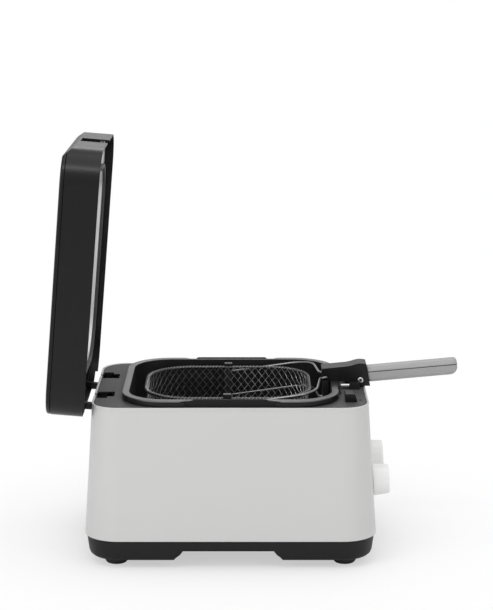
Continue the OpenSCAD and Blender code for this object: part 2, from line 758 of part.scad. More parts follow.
module bowl_form(in, base, top) {
    profiled(bowl_len, bowl_wid, bowl_corner, bowl_pts(in, base, top));
}

module bowl_shell() color("#b9b9b7") difference() {
    union() {
        bowl_form(0, shoulder_z, rim_top);
        drum(0, drum_z);
        drum_blend(0);
        difference() {
            block(rim_len, rim_wid, rim_corner, rim_under, rim_top);
            // the flange is narrow where the collar's tabs stand
            both_sides() translate([-gap_len / 2, bowl_wid / 2 + 3.9, rim_under - 1])
                cube([gap_len, 20, rim_t + 2]);
        }
    }
    bowl_form(steel_t, shoulder_z + steel_t, rim_top + 1);
    drum(steel_t, drum_z + steel_t);
    drum_blend(steel_t);
}

module bowl_lining() color("#1a1a1b") difference() {
    union() {
        bowl_form(steel_t + 0.02, shoulder_z + steel_t + 0.02, rim_top - 0.2);
        drum(steel_t + 0.02, drum_z + steel_t + 0.02);
        drum_blend(steel_t + 0.02);
    }
    bowl_form(steel_t + lining_t, shoulder_z + steel_t + lining_t, rim_top + 1);
    drum(steel_t + lining_t, drum_z + steel_t + lining_t);
    drum_blend(steel_t + lining_t);
}

module bowl_rim_bands() color("#1f1f20") difference() {
    ring(rim_len, rim_wid, rim_corner, (rim_len - collar_len) / 2 - fit_gap,
        rim_under - band_drop, rim_under - 0.05);
    translate([-gap_len / 2, -rim_wid, rim_under - 20]) cube([gap_len, 2 * rim_wid, 40]);
}

module bowl_feet() color("#1b1b1c") for (a = [105, 225, 345]) rotate([0, 0, a])
    translate([plate_d / 2 + 14, 0, bowl_foot_z]) rotate_extrude() polygon([
        [0, 0], [bowl_foot_d / 2 - 2, 0], [bowl_foot_d / 2 - 0.9, 1.4],
        [bowl_foot_d / 2, bowl_foot_h - 0.05], [0, bowl_foot_h - 0.05]]);

// ---------------------------------------------------------------- handle
head_low = rim_top + 0.3;              // head rests on the bowl's rim
tab_low = top_z - foot_deep;
grip_tilt = 5.2;
grip_x = pivot_x + 53.1;
grip_z = head_low + 6.6;
rivet_x = pivot_x + 43.4;
rivet_z = head_low + 0.6;

module handle_head() color("#212122") difference() {
    translate([pivot_x, 0, head_low]) union() {
        // nose, over the bowl's rim, and body, over the deck
        side_plate(-head_wid / 2, head_wid / 2) polygon([
            [-6.3, 15.4], [-5.9, 1], [-4.5, 0], [24.5, 0], [31.5, -7], [55.9, -6.9],
            [50.6, 21.7], [46.1, 22.4], [41.8, 22.5], [37, 21.6], [31.7, 19.8], [25.5, 18.6]]);
        // foot that drops into the deck's pocket
        side_plate(-foot_wid / 2, foot_wid / 2) translate([0, tab_low - head_low]) polygon([
            [foot_x0, 20], [foot_x0 + 2, 2.4], [foot_x0 + 4, 0],
            [foot_x1 - 0.8, 0], [foot_x1, 1], [foot_x1, 20]]);
    }
    both_sides() cross_pin(pivot_x, pivot_z, arm_wire_d + 2 * run_gap, 5, 20);
    // socket for the grip's tongue
    translate([pivot_x, 0, head_low]) side_plate(-8.1, 8.1)
        polygon([[33.5, -4.1], [67.5, -1], [67.5, 15], [33.5, 12]]);
    cross_pin(rivet_x, rivet_z, 5.04, -20, 20);
}

module handle_grip() color("#979797") difference() {
    union() {
        // long soft-edged bar, cut to its side outline and to the head's rear face
        difference() {
            intersection() {
            translate([grip_x, 0, grip_z]) rotate([0, 90 - grip_tilt, 0])
                linear_extrude(grip_len + 10) union() {
                    square([grip_high, grip_wid - 14], center = true);
                    square([grip_high - 14, grip_wid], center = true);
                    for (sx = [-1, 1]) for (sy = [-1, 1])
                        translate([sx * (grip_high / 2 - 7), sy * (grip_wid / 2 - 7)]) circle(r = 7);
                }
            translate([grip_x, 0, grip_z]) rotate([0, -grip_tilt, 0])
                side_plate(-40, 40) union() {
                    translate([2, -grip_high]) square([grip_len - 12, 2 * grip_high]);
                    translate([2, -grip_high / 2 + 9.9])
                        square([grip_len, grip_high]);
                    translate([grip_len - 8, -grip_high / 2 + 10]) circle(r = 10);
                }
            }
            translate([pivot_x, 0, head_low]) side_plate(-40, 40)
                polygon([[0, -40], [62.2, -40], [56.05, -6.9], [50.75, 21.7], [47.4, 40], [0, 40]]);
        }
        // tongue in the head's socket
        translate([grip_x, 0, grip_z]) rotate([0, -grip_tilt, 0])
            translate([-17, -8, -8.6]) cube([22, 16, 13]);
    }
    cross_pin(rivet_x, rivet_z, 5.04, -20, 20);
    // parting line along both flanks
    both_sides() translate([grip_x, 0, grip_z]) rotate([0, -grip_tilt, 0])
        translate([0, grip_wid / 2 - 0.5, 3.6]) cube([grip_len + 10, 2, 0.8]);
}

module handle_rivet() color("silver") difference() {
    union() {
        cross_pin(rivet_x, rivet_z, 5, -head_wid / 2 - 0.4, head_wid / 2 + 0.4);
        both_sides() translate([rivet_x, head_wid / 2 + 0.05, rivet_z]) rotate([-90, 0, 0])
            cylinder(h = 1, d1 = 7.4, d2 = 6);
    }
    cross_pin(rivet_x, rivet_z, 2.6, -30, 30);
}

link_x0 = pivot_x - 4.6;
link_x1 = pivot_x + 2.9;

module link_plate() color("#4d4d4e") difference() {
    union() {
        translate([link_x0, -12.5, pivot_z - pivot_gap])
            cube([link_x1 - link_x0, 25, head_low - pivot_z + pivot_gap - 0.05]);
        cross_pin(link_x1 - 3.75, pivot_z - pivot_gap, 7.5, -12.5, 12.5);
    }
    both_sides() cross_pin(pivot_x, pivot_z - pivot_gap, arm_wire_d + 2 * run_gap, 3, 20);
    // the strap is pressed hollow on its inner face
    translate([link_x0 - 1, -7, pivot_z - pivot_gap + 7]) cube([3, 14, pivot_gap - 16]);
}

// One arm, lying along -X from its front pivot at the origin, bent outwards to arm_y
bend_r = 33;         // wide bend beside the basket
bend_out = 6;        // lean of the run that crosses in front of the basket
foot_r = 6;          // bend where the run meets the head
foot_x = 3;          // straight length beside the head
hook_r = 2.3;        // bend of a hook

// Straight wire; it reaches a little into the bend at each end
module wire(len) {
    translate([0, 0, -0.15]) cylinder(h = len + 0.3, d = arm_wire_d, $fn = 24);
}

module wire_arc(r, from, to) {
    rotate([0, 0, from]) rotate_extrude(angle = to - from)
        translate([r, 0]) circle(d = arm_wire_d + 0.04, $fn = 24);
}

module arm(hook_in) {
    a = 90 - bend_out;
    foot_end = [-foot_x - foot_r * sin(a), arm_end_y + foot_r * (1 - cos(a))];
    run = (arm_y - bend_r * (1 - cos(a)) - foot_end[1]) / sin(a);
    bend_x = foot_end[0] - run * cos(a) - bend_r * sin(a);
    // hook into the head or the link plate
    translate([0, arm_end_y - hook_r, 0]) rotate([90, 0, 0]) wire(hook_in);
    translate([-hook_r, arm_end_y - hook_r, 0]) wire_arc(hook_r, 0, 90);
    translate([-foot_x, arm_end_y, 0]) rotate([0, 90, 0]) wire(foot_x - hook_r);
    translate([-foot_x, arm_end_y + foot_r, 0]) wire_arc(foot_r, 270 - a, 270);
    translate([foot_end[0], foot_end[1], 0]) rotate([0, -90, -a]) wire(run);
    translate([bend_x, arm_y - bend_r, 0]) wire_arc(bend_r, 90 - a, 90);
    translate([hook_r - arm_len, arm_y, 0]) rotate([0, 90, 0])
        wire(bend_x + arm_len - hook_r);
    // hook into the bracket
    translate([hook_r - arm_len, arm_y - hook_r, 0]) wire_arc(hook_r, 90, 180);
    translate([-arm_len, arm_y - hook_r, 0]) rotate([90, 0, 0])
        wire(arm_y - hook_r - basket_y - 1);
}

module upper_arms() color("#6b6b6b") both_sides()
    translate([pivot_x, 0, pivot_z]) rotate([0, -arm_tilt, 0]) arm(7);

module lower_arms() color("#6b6b6b") both_sides()
    translate([pivot_x, 0, pivot_z - pivot_gap]) rotate([0, -arm_tilt, 0])
        arm(arm_end_y - hook_r - 4);

// ---------------------------------------------------------------- basket
// Side of the basket, as [how far in from the rim, depth under the rim]
lower_in = 54;
basket_side = [
    [0, 0], [0, basket_h - 29], [2.4, basket_h - 22], [9.5, basket_h - 15],
    [36, basket_h - 6.6], [lower_in, basket_h]];
// how far the mesh faces down at each of those places, from 0 to 1
side_tilt = [0, 0.15, 0.5, 0.8, 0.95, 1];
// rows of diamond corners, as places along basket_side
row_v = [0, 0.5, 1, 2.6, 3.6, 4.3, 5];
wall_rows = 3;
strips = 16;
strand = 0.12;       // width of a strand, as a share of a diamond
strip_gap = 0.975;   // strips are drawn a hair short, so that they stay apart

function mix(a, b, t) = a + (b - a) * t;
function at_place(list, v) = let (k = min(max(floor(v), 0), len(list) - 2))
    mix(list[k], list[k + 1], v - k);

// Point of a rounded rectangle's first quarter, f from the +X side to the +Y side
function quarter_plan(f, in) =
    let (hx = basket_len / 2 - basket_corner, hy = basket_wid / 2 - basket_corner,
         arc = PI * basket_corner / 2, r = max(basket_corner - in, 3),
         x = basket_len / 2 - in, y = basket_wid / 2 - in, s = f * (hx + arc + hy))
    s < hy ? [x, s / hy * (y - r)]
    : s < hy + arc ? let (w = (s - hy) / arc * 90) [x - r + r * cos(w), y - r + r * sin(w)]
    : [(1 - (s - hy - arc) / hx) * (x - r), y];

// Point of the whole rounded rectangle, t from 0 to 1 round it
function round_plan(t, in) =
    let (turn = (t - floor(t)) * 4, q = floor(turn), f = turn - q,
         p = quarter_plan(q % 2 == 0 ? f : 1 - f, in))
    [(q == 0 || q == 3 ? 1 : -1) * p[0], (q < 2 ? 1 : -1) * p[1]];

// Point of the basket's side, out by some amount from the middle of the mesh
function mesh_point(t, v, out) =
    let (p = at_place(basket_side, v), tilt = at_place(side_tilt, v),
         q = round_plan(t, p[0] + rim_wire_d / 2 - out * (1 - tilt * 0.7)))
    [q[0], q[1], -p[1] - out * tilt];

// A closed strip of mesh: diamonds in columns c0 to c1 - 1 and rows k0 to k1, each a
// frame round a hole, with walls along the strip's open edges
module mesh_strip(c0, c1, k0, k1) {
    wide = 2 * (c1 - c0) + 2;
    high = k1 - k0 + 3;
    cells = [for (k = [k0:k1]) for (c = [c0:c1 - 1]) [2 * c + k % 2, k]];
    function inside(i, k) = k >= k0 && k <= k1
        && i >= 2 * c0 + k % 2 && i <= 2 * (c1 - 1) + k % 2;
    mid = [c0 + c1, (k0 + k1) / 2];
    function place(i, k, out) =
        let (j = mid + strip_gap * ([i, k] - mid))
        mesh_point(j[0] / (2 * mesh_cols), at_place(row_v, j[1]), out);
    grid = [for (out = [mesh_t / 2, -mesh_t / 2])
        for (k = [k0 - 1:k1 + 1]) for (i = [2 * c0 - 1:2 * c1]) place(i, k, out)];
    holes = [for (out = [mesh_t / 2, -mesh_t / 2]) for (c = cells)
        for (d = [[1, 0], [0, 1], [-1, 0], [0, -1]])
            place(c[0] + d[0] * (1 - strand), c[1] + d[1] * (1 - strand), out)];
    layer = wide * high;
    n = len(cells);
    function corner(c, d, back) = back * layer + (c[1] + d[1] - k0 + 1) * wide
        + c[0] + d[0] - 2 * c0 + 1;
    function hole(m, q, back) = 2 * layer + back * 4 * n + 4 * m + q;
    around = [[1, 0], [0, 1], [-1, 0], [0, -1]];
    // neighbour across the edge from around[q] to around[q + 1]
    across = [[1, 1], [-1, 1], [-1, -1], [1, -1]];
    faces = [for (m = [0:n - 1]) for (q = [0:3])
        let (c = cells[m], e = (q + 1) % 4,
             a0 = corner(c, around[q], 0), a1 = corner(c, around[e], 0),
             b0 = corner(c, around[q], 1), b1 = corner(c, around[e], 1),
             h0 = hole(m, q, 0), h1 = hole(m, e, 0), g0 = hole(m, q, 1), g1 = hole(m, e, 1))
        each concat(
            [[a0, a1, h1], [a0, h1, h0], [b1, b0, g0], [b1, g0, g1],
             [h0, h1, g1], [h0, g1, g0]],
            inside(c[0] + across[q][0], c[1] + across[q][1]) ? []
                : [[a1, a0, b0], [a1, b0, b1]])];
    polyhedron(concat(grid, holes), faces);
}

module basket_place() {
    translate([basket_x, 0, basket_rim_z]) children();
}

module basket_rim() color("#777777") basket_place() {
    for (end = [0, 1]) mirror([end, 0, 0]) for (flip = [0, 1]) mirror([0, flip, 0])
        translate([basket_len / 2 - basket_corner, basket_wid / 2 - basket_corner, 0])
            rotate_extrude(angle = 90) translate([basket_corner, 0])
                circle(d = rim_wire_d, $fn = 24);
    both_sides() translate([0, basket_wid / 2, 0]) rotate([0, 90, 0])
        cylinder(h = basket_len - 2 * basket_corner, d = rim_wire_d, center = true, $fn = 24);
    for (s = [-1, 1]) translate([s * basket_len / 2, 0, 0]) rotate([90, 0, 0])
        cylinder(h = basket_wid - 2 * basket_corner, d = rim_wire_d, center = true, $fn = 24);
}

module basket_brackets() color("#3b3b3c") both_sides() difference() {
    union() {
        translate([basket_x - 5, strap_in, bracket_z - pivot_gap - 8])
            cube([10, strap_t, pivot_gap + 8 + 13.4]);
        // fold over the rim wire
        translate([basket_x - 5, basket_y - 4, bracket_z + 13.4 - strap_t])
            cube([10, strap_in - basket_y + 4 + eps, strap_t]);
    }
    cross_pin(basket_x, bracket_z, arm_wire_d + 2 * run_gap, 50, 120);
    cross_pin(basket_x, bracket_z - pivot_gap, arm_wire_d + 1, 50, 120);
}

module basket_mesh() color("#9a9a98") basket_place() {
    step = mesh_cols / strips;
    for (i = [0:strips - 1]) {
        mesh_strip(i * step - step / 2, (i + 1) * step - step / 2, 1, wall_rows - 1);
        mesh_strip(i * step - step / 2, (i + 1) * step - step / 2, wall_rows, len(row_v) - 2);
    }
}

floor_pitch = [10, 9];
// Flat floor: a plate with diamond holes in staggered rows
module basket_floor() color("#9a9a98") basket_place() {
    in = lower_in - 1.5;
    edge = [for (i = [0:31]) round_plan(i / 32, in)];
    half = [basket_len / 2 - in, basket_wid / 2 - in];
    count = [floor(2 * half[0] / floor_pitch[0]), floor(2 * half[1] / floor_pitch[1])];
    centres = [for (i = [-count[0]:count[0]]) for (j = [-count[1]:count[1]])
        let (x = i * floor_pitch[0] / 2, y = j * floor_pitch[1] / 2)
        if ((i + j) % 2 == 0 && abs(x) < half[0] - floor_pitch[0] / 2 - 1
            && abs(y) < half[1] - floor_pitch[1] / 2 - 1) [x, y]];
    holes = [for (c = centres) for (d = [[1, 0], [0, 1], [-1, 0], [0, -1]])
        [c[0] + d[0] * floor_pitch[0] * 0.41, c[1] + d[1] * floor_pitch[1] * 0.41]];
    translate([0, 0, -basket_h - 1.5 * mesh_t - 0.05]) linear_extrude(mesh_t)
        polygon(concat(edge, holes), concat([[for (i = [0:31]) i]],
            [for (m = [0:len(centres) - 1]) [for (q = [0:3]) 32 + 4 * m + q]]));
}

// ---------------------------------------------------------------- assembly
outer_shell();
base_tray();
feet();
base_screws();
cord_gland();
terminal_block();
deck();
lid_catches();
handle_rest_pin();
hinge_pins();
well_liner();
hot_plate();
hot_plate_posts();
heating_element();
thermal_cutout();
thermostat();
timer();
thermostat_shaft();
thermostat_knob();
timer_shaft();
timer_knob();
lid_frame();
lid_cover();
lid_liner();
lid_seal();
filter_mat();
hinge_arms();
bowl_shell();
bowl_lining();
bowl_rim_bands();
bowl_feet();
handle_head();
handle_grip();
handle_rivet();
link_plate();
upper_arms();
lower_arms();
basket_rim();
basket_mesh();
basket_floor();
basket_brackets();
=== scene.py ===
# %% [markdown]
# # A deep fryer, dressed piece by piece
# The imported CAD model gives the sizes, the moving bodies and the names. This script loads it
# as a fixed frame, builds the surfaces that show as numpy grids of points, and gives every
# piece a procedural finish. All lengths in the code are millimetres times `mm`.

# %% Load the frame
import json
import math

import bmesh
import bpy
import numpy as np
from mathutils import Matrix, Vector


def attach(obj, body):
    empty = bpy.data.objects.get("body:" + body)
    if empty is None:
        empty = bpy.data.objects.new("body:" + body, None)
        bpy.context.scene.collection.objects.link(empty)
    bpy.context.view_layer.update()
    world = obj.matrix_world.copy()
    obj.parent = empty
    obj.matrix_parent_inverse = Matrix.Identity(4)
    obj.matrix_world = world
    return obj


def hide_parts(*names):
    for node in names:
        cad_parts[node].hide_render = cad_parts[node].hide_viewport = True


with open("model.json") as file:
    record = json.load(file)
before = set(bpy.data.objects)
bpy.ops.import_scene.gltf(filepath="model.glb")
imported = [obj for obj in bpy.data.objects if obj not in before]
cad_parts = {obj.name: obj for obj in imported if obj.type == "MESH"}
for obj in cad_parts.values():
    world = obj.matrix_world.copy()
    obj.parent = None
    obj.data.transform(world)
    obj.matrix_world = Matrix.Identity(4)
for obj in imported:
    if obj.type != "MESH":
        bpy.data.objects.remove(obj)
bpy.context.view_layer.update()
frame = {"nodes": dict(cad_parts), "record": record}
mm = 0.001

# %% [markdown]
# ## Camera
# The photograph looks a little down on the long side from more than two metres away. The
# camera comes first, because everything after it is seen through it.

# %% Camera
view = bpy.data.cameras.new("view")
view.sensor_width = 36
view.lens = 115.1
camera = bpy.data.objects.new("camera", view)
camera.location = (0.020, -2.445, 0.787)
camera.rotation_euler = (math.radians(78.93), 0, 0)
bpy.context.scene.collection.objects.link(camera)
bpy.context.scene.camera = camera
print("camera at", tuple(round(v, 3) for v in camera.location))

# %% [markdown]
# ## Numbers shared with the CAD source
# A piece that stands for a CAD node has to lie where that node lies, so the names and values
# here repeat the ones that the part was drawn with.

# %% Sizes
TRAY_Z, SHELL_Z, TOP_Z = 10.5, 37.0, 204.0
BODY = (365.0, 272.6, 44.0)           # length, width and corner radius of the housing
LEAN = 10.8                           # how far its walls lean in on the way up
BOWL = (256.0, 226.0, 48.0)
DRUM_Z, SHOULDER_Z, RIM_UNDER, RIM_TOP = 55.1, 75.1, 210.3, 212.5
DRUM_R, PLATE_R = 115.3, 71.0
HINGE = (-162.0, 187.0)
PIVOT = (122.5, 217.5)
HEAD_LOW, GRIP_X, GRIP_Z, GRIP_TILT = 212.8, 175.6, 219.4, 5.2
BASKET_X, BASKET_RIM_Z = -4.0, 207.12
BASKET = (208.0, 175.0, 58.0)
KNOB_Z, KNOB_Y = 94.5, 58.5
print("bowl", BOWL, "basket", BASKET)

# %% [markdown]
# ## From a grid of points to a mesh
# Each new piece is a grid `P[row, column]`: a formula fills it in one go, and this function
# joins neighbouring points with four-sided faces. `round_rows` also joins the last row to
# the first, which closes a wall with an inner and an outer side, and `caps` closes the first
# and the last row with one flat face each.

# %% Grid to mesh
BOTH = (True, True)                   # both ends of a form get a flat cap


def surface(name, points, round_rows=False, open_columns=False, caps=(False, False)):
    """Face (r, c) joins P[r, c], P[r, c+1], P[r+1, c+1] and P[r+1, c]; columns run round."""
    points = np.asarray(points, float)
    rows, columns = points.shape[:2]
    r = np.arange(rows if round_rows else rows - 1)[:, None]
    c = np.arange(columns - 1 if open_columns else columns)[None, :]
    r2, c2 = (r + 1) % rows, (c + 1) % columns
    quads = np.stack([r * columns + c, r * columns + c2, r2 * columns + c2, r2 * columns + c], -1)
    faces = quads.reshape(-1, 4).tolist()
    if caps[0]:
        faces.append(list(range(columns))[::-1])
    if caps[1]:
        faces.append(list(range((rows - 1) * columns, rows * columns)))
    return add_mesh(name, points.reshape(-1, 3), faces)


def add_mesh(name, points, faces):
    """A new object in metres, at the origin, shaded smooth except at sharp edges."""
    mesh = bpy.data.meshes.new(name)
    mesh.from_pydata((np.asarray(points) * mm).tolist(), [], faces)
    mesh.update()
    piece = bpy.data.objects.new(name, mesh)
    bpy.context.scene.collection.objects.link(piece)
    tidy_normals(piece)
    return piece


def tidy_normals(piece, degrees=35):
    """Faces turned outwards and shaded smooth where they meet at less than the angle."""
    b = bmesh.new()
    b.from_mesh(piece.data)
    bmesh.ops.recalc_face_normals(b, faces=b.faces)
    b.to_mesh(piece.data)
    b.free()
    piece.data.polygons.foreach_set("use_smooth", np.ones(len(piece.data.polygons), bool))
    piece.data.set_sharp_from_angle(angle=math.radians(degrees))


print("surface() and add_mesh() are ready")

# %% [markdown]
# ## Plans and profiles
# Most of the product is a rounded rectangle seen from above, swept along a side profile.
# The plan is kept as corner centres plus a unit direction, so a point that stands `inset`
# inside the edge is *centre + (radius - inset) times direction*, and walls stay even round
# the corners.

# %% Plans
def plan(length, width, radius, corner=14, side=5):
    """Centres and directions round a rounded rectangle: centre + radius * (cos a, sin a)."""
    a = np.linspace(0, np.pi / 2, corner)
    hx, hy = length / 2 - radius, width / 2 - radius
    centres, directions = [], []
    for turn, (sx, sy) in enumerate([(1, 1), (-1, 1), (-1, -1), (1, -1)]):
        heading = a + turn * np.pi / 2
        d = np.stack([np.cos(heading), np.sin(heading)], 1)
        nxt = [(-1, 1), (-1, -1), (1, -1), (1, 1)][turn]
        t = np.linspace(0, 1, side + 2)[1:-1, None]
        here, there = np.array([sx * hx, sy * hy]), np.array([nxt[0] * hx, nxt[1] * hy])
        centres += [np.tile(here, (corner, 1)), here + t * (there - here)]
        directions += [d, np.tile(d[-1], (side, 1))]
    return np.concatenate(centres), np.concatenate(directions)


def loft(name, size, profile, x=0.0, **closing):
    """Row j is centre + (radius - inset_j) * direction at height z_j, for profile rows
    (inset, z)."""
    centres, directions = plan(*size)
    inset, z = np.asarray(profile, float).T
    reach = np.maximum(size[2] - inset, 0.3)[:, None, None]
    flat = centres[None] + reach * directions[None]
    height = np.broadcast_to(z[:, None, None], flat.shape[:2] + (1,))
    return surface(name, np.concatenate([flat + [x, 0], height], -1), **closing)


def eased(profile, radius, steps=4):
    """The profile with each inner corner replaced by a curve: P(t) = (1-t)^2 A + 2t(1-t) C
    + t^2 B, from A before the corner C to B after it."""
    p = np.asarray(profile, float)
    t = np.linspace(0, 1, steps)[:, None]
    out = [p[:1]]
    for before, corner, after in zip(p[:-2], p[1:-1], p[2:]):
        ends = []
        for other in (before, after):
            reach = np.linalg.norm(other - corner)
            ends.append(corner + (other - corner) * min(radius / reach, 0.48))
        out.append((1 - t) ** 2 * ends[0] + 2 * t * (1 - t) * corner + t ** 2 * ends[1])
    return np.concatenate(out + [p[-1:]])


def lathe(name, profile, sides=72, at=((0, 0, 0),), tilt=None, **closing):
    """Row j is (r_j cos a, r_j sin a, z_j) for profile rows (r, z), turned by `tilt` and
    moved to each place in `at`."""
    a = np.linspace(0, 2 * np.pi, sides, endpoint=False)
    r, z = np.asarray(profile, float).T
    grid = np.stack([r[:, None] * np.cos(a), r[:, None] * np.sin(a),
                     np.broadcast_to(z[:, None], (len(r), sides))], -1)
    grid = grid if tilt is None else grid @ np.asarray(tilt, float).T
    whole = None
    for place in at:
        part = surface(name, grid + np.asarray(place, float), **closing)
        whole = part if whole is None else joined(whole, part)
    return whole


print("housing plan has", len(plan(*BODY)[0]), "points")

# %% [markdown]
# ## Working on meshes
# A box cuts openings and is thrown away again. `softened` takes a copy of a CAD node, merges
# its doubled points, and rounds its edges: a moulded or pressed part never has a knife edge,
# and the small round catches the light.

# %% Mesh work
def joined(*pieces):
    """One object from several."""
    bpy.ops.object.select_all(action="DESELECT")
    for piece in pieces:
        piece.select_set(True)
    bpy.context.view_layer.objects.active = pieces[0]
    bpy.ops.object.join()
    return pieces[0]


def modified(piece, kind, **settings):
    """The piece with one modifier added and applied."""
    modifier = piece.modifiers.new(kind.lower(), kind)
    for key, value in settings.items():
        setattr(modifier, key, value)
    bpy.ops.object.select_all(action="DESELECT")
    piece.select_set(True)
    bpy.context.view_layer.objects.active = piece
    bpy.ops.object.modifier_apply(modifier=modifier.name)
    return piece


def box(low, high, turn=None):
    """A cutter between two corners; `turn` moves its points first."""
    pick = np.array([[i, j, k] for i in (0, 1) for j in (0, 1) for k in (0, 1)])
    points = np.where(pick == 1, high, low).astype(float)
    faces = [(0, 1, 3, 2), (4, 6, 7, 5), (0, 4, 5, 1), (2, 3, 7, 6), (0, 2, 6, 4), (1, 5, 7, 3)]
    return add_mesh("cutter", points if turn is None else turn(points), faces)


def cut(piece, *cutters):
    """The piece less the cutters, which are then deleted."""
    for cutter in cutters:
        modified(piece, "BOOLEAN", operation="DIFFERENCE", object=cutter, solver="EXACT")
        bpy.data.meshes.remove(cutter.data)
    tidy_normals(piece)
    return piece


def softened(node, width, segments=2, degrees=28):
    """A copy of a CAD node with its edges rounded over `width` mm, standing for the node."""
    mesh = frame["nodes"][node].data.copy()
    mesh.name = node + "_soft"
    piece = bpy.data.objects.new(node + "_soft", mesh)
    bpy.context.scene.collection.objects.link(piece)
    b = bmesh.new()
    b.from_mesh(mesh)
    bmesh.ops.remove_doubles(b, verts=b.verts, dist=1e-6)
    bmesh.ops.dissolve_limit(b, angle_limit=math.radians(1), verts=b.verts, edges=b.edges)
    b.to_mesh(mesh)
    b.free()
    modified(piece, "BEVEL", width=width * mm, segments=segments, limit_method="ANGLE",
             angle_limit=math.radians(degrees), use_clamp_overlap=True)
    tidy_normals(piece)
    modified(piece, "WEIGHTED_NORMAL", keep_sharp=True, weight=100)
    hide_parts(node)
    return piece


print("joined(), modified(), cut() and softened() are ready")

# %% [markdown]
# ## Writing a finish as arithmetic
# A material is a formula of the place on the surface. `Shade` wraps one output of a node, so
# `0.3 + 0.1 * grain` builds the Math nodes by itself. Places come from Object coordinates,
# in metres, so the grain sits still on the piece in every view.

# %% Shader arithmetic
class Shade:
    """One output inside a material. Arithmetic on it adds Math nodes."""
    tree = None

    def __init__(self, out):
        self.out = out

    @classmethod
    def node(cls, kind, inputs, output=0, **settings):
        """Adds a node: its settings first, then its inputs, which are numbers or Shades."""
        made = cls.tree.nodes.new(kind)
        for key, value in settings.items():
            setattr(made, key, value)
        for key, value in inputs.items():
            if isinstance(value, Shade):
                cls.tree.links.new(value.out, made.inputs[key])
            else:
                made.inputs[key].default_value = value
        return cls(made.outputs[output])

    @classmethod
    def math(cls, operation, *terms):
        return cls.node("ShaderNodeMath", dict(enumerate(terms)), operation=operation)

    def __add__(self, other):
        return Shade.math("ADD", self, other)

    def __sub__(self, other):
        return Shade.math("SUBTRACT", self, other)

    def __rsub__(self, other):
        return Shade.math("SUBTRACT", other, self)

    def __mul__(self, other):
        return Shade.math("MULTIPLY", self, other)

    __radd__, __rmul__ = __add__, __mul__


print("Shade is ready")

# %% [markdown]
# Helpers for the words a finish needs: where a point is, cloudy noise, fine lines stretched
# along one axis, and a soft step.

# %% Patterns
def place(stretch=(1, 1, 1)):
    """Object coordinates, each axis multiplied by its stretch."""
    here = Shade.node("ShaderNodeTexCoord", {}, output=3)
    return Shade.node("ShaderNodeVectorMath", {0: here, 1: stretch}, operation="MULTIPLY")


def axis(index):
    """One of the three object coordinates, in metres."""
    here = Shade.node("ShaderNodeTexCoord", {}, output=3)
    return Shade.node("ShaderNodeSeparateXYZ", {0: here}, output=index)


def noise(scale, stretch=(1, 1, 1), detail=2.0):
    """Cloudy noise from 0 to 1, with `scale` lumps to the metre."""
    return Shade.node("ShaderNodeTexNoise", {"Vector": place(stretch), "Scale": scale,
                                             "Detail": detail}, output=0)


def step(value, low, high):
    """0 under `low`, 1 over `high`, smooth between: the curve 3t^2 - 2t^3."""
    return Shade.node("ShaderNodeMapRange", {"Value": value, "From Min": low, "From Max": high},
                      interpolation_type="SMOOTHSTEP")


def blend(amount, first, second):
    """first + amount * (second - first), for colours."""
    made = Shade.node("ShaderNodeMix", {0: amount}, output=2, data_type="RGBA")
    mix = made.out.node
    for socket, colour in ((mix.inputs[6], first), (mix.inputs[7], second)):
        if isinstance(colour, Shade):
            Shade.tree.links.new(colour.out, socket)
        else:
            socket.default_value = (*colour, 1)
    return made


def finish(name, recipe):
    """A material from a recipe: a function that returns the shader's inputs by name, and
    `bump` as (height, distance in mm) where the surface has relief."""
    material = bpy.data.materials.new(name)
    material.use_nodes = True
    Shade.tree = material.node_tree
    shader = material.node_tree.nodes["Principled BSDF"]
    for key, value in recipe().items():
        if key == "bump":
            value = Shade.node("ShaderNodeBump", {"Height": value[0], "Distance": value[1] * mm,
                                                  "Strength": 1.0})
            key = "Normal"
        if isinstance(value, Shade):
            material.node_tree.links.new(value.out, shader.inputs[key])
        else:
            shader.inputs[key].default_value = value
    return material


def grey(v, warm=0.0):
    """A grey of linear brightness v, a little warmer or cooler."""
    return (v * (1 + warm), v, v * (1 - 1.5 * warm))


print("patterns are ready")

# %% [markdown]
# ### Moulded plastics
# The housing is a glossy white moulding whose faint grain is in its roughness only, with no
# bump. The lid, base and handle parts are satin black with a fine spark-eroded grain, and the
# deck is the same plastic in dark grey with the collar round the bowl in black.

# %% Plastics
def plastic(tone, rough, grain_depth, grain_scale=2600, vary=0.08, coat=0.0, warm=0.0,
            shine=0.5, drift=0.07):
    """Moulded plastic: tone and roughness drift a little, and the grain is a bump."""
    def recipe():
        cloud, grain = noise(14), noise(grain_scale, detail=3)
        dark, light = grey(tone * (1 - vary), warm), grey(tone * (1 + vary), warm)
        return {"Base Color": blend(cloud, dark, light),
                "Roughness": rough + drift * (noise(60) - 0.5) + 0.04 * (grain - 0.5),
                "Coat Weight": coat, "Specular IOR Level": shine, "bump": (grain, grain_depth)}
    return recipe


def deck_plastic():
    """Grey on the deck's face and black on everything that stands up from it."""
    grain = noise(3200, detail=3)
    up = step(axis(2), (TOP_Z + 0.25) * mm, (TOP_Z + 0.45) * mm)
    down = step(axis(2), (TOP_Z - 1.0) * mm, (TOP_Z - 0.8) * mm)
    face = down * (1 - up)
    cloud = noise(18)
    return {"Base Color": blend(face, grey(0.009), blend(cloud, grey(0.064), grey(0.074))),
            "Roughness": 0.55 + 0.08 * (grain - 0.5), "Specular IOR Level": 0.2,
            "bump": (grain, 0.03)}


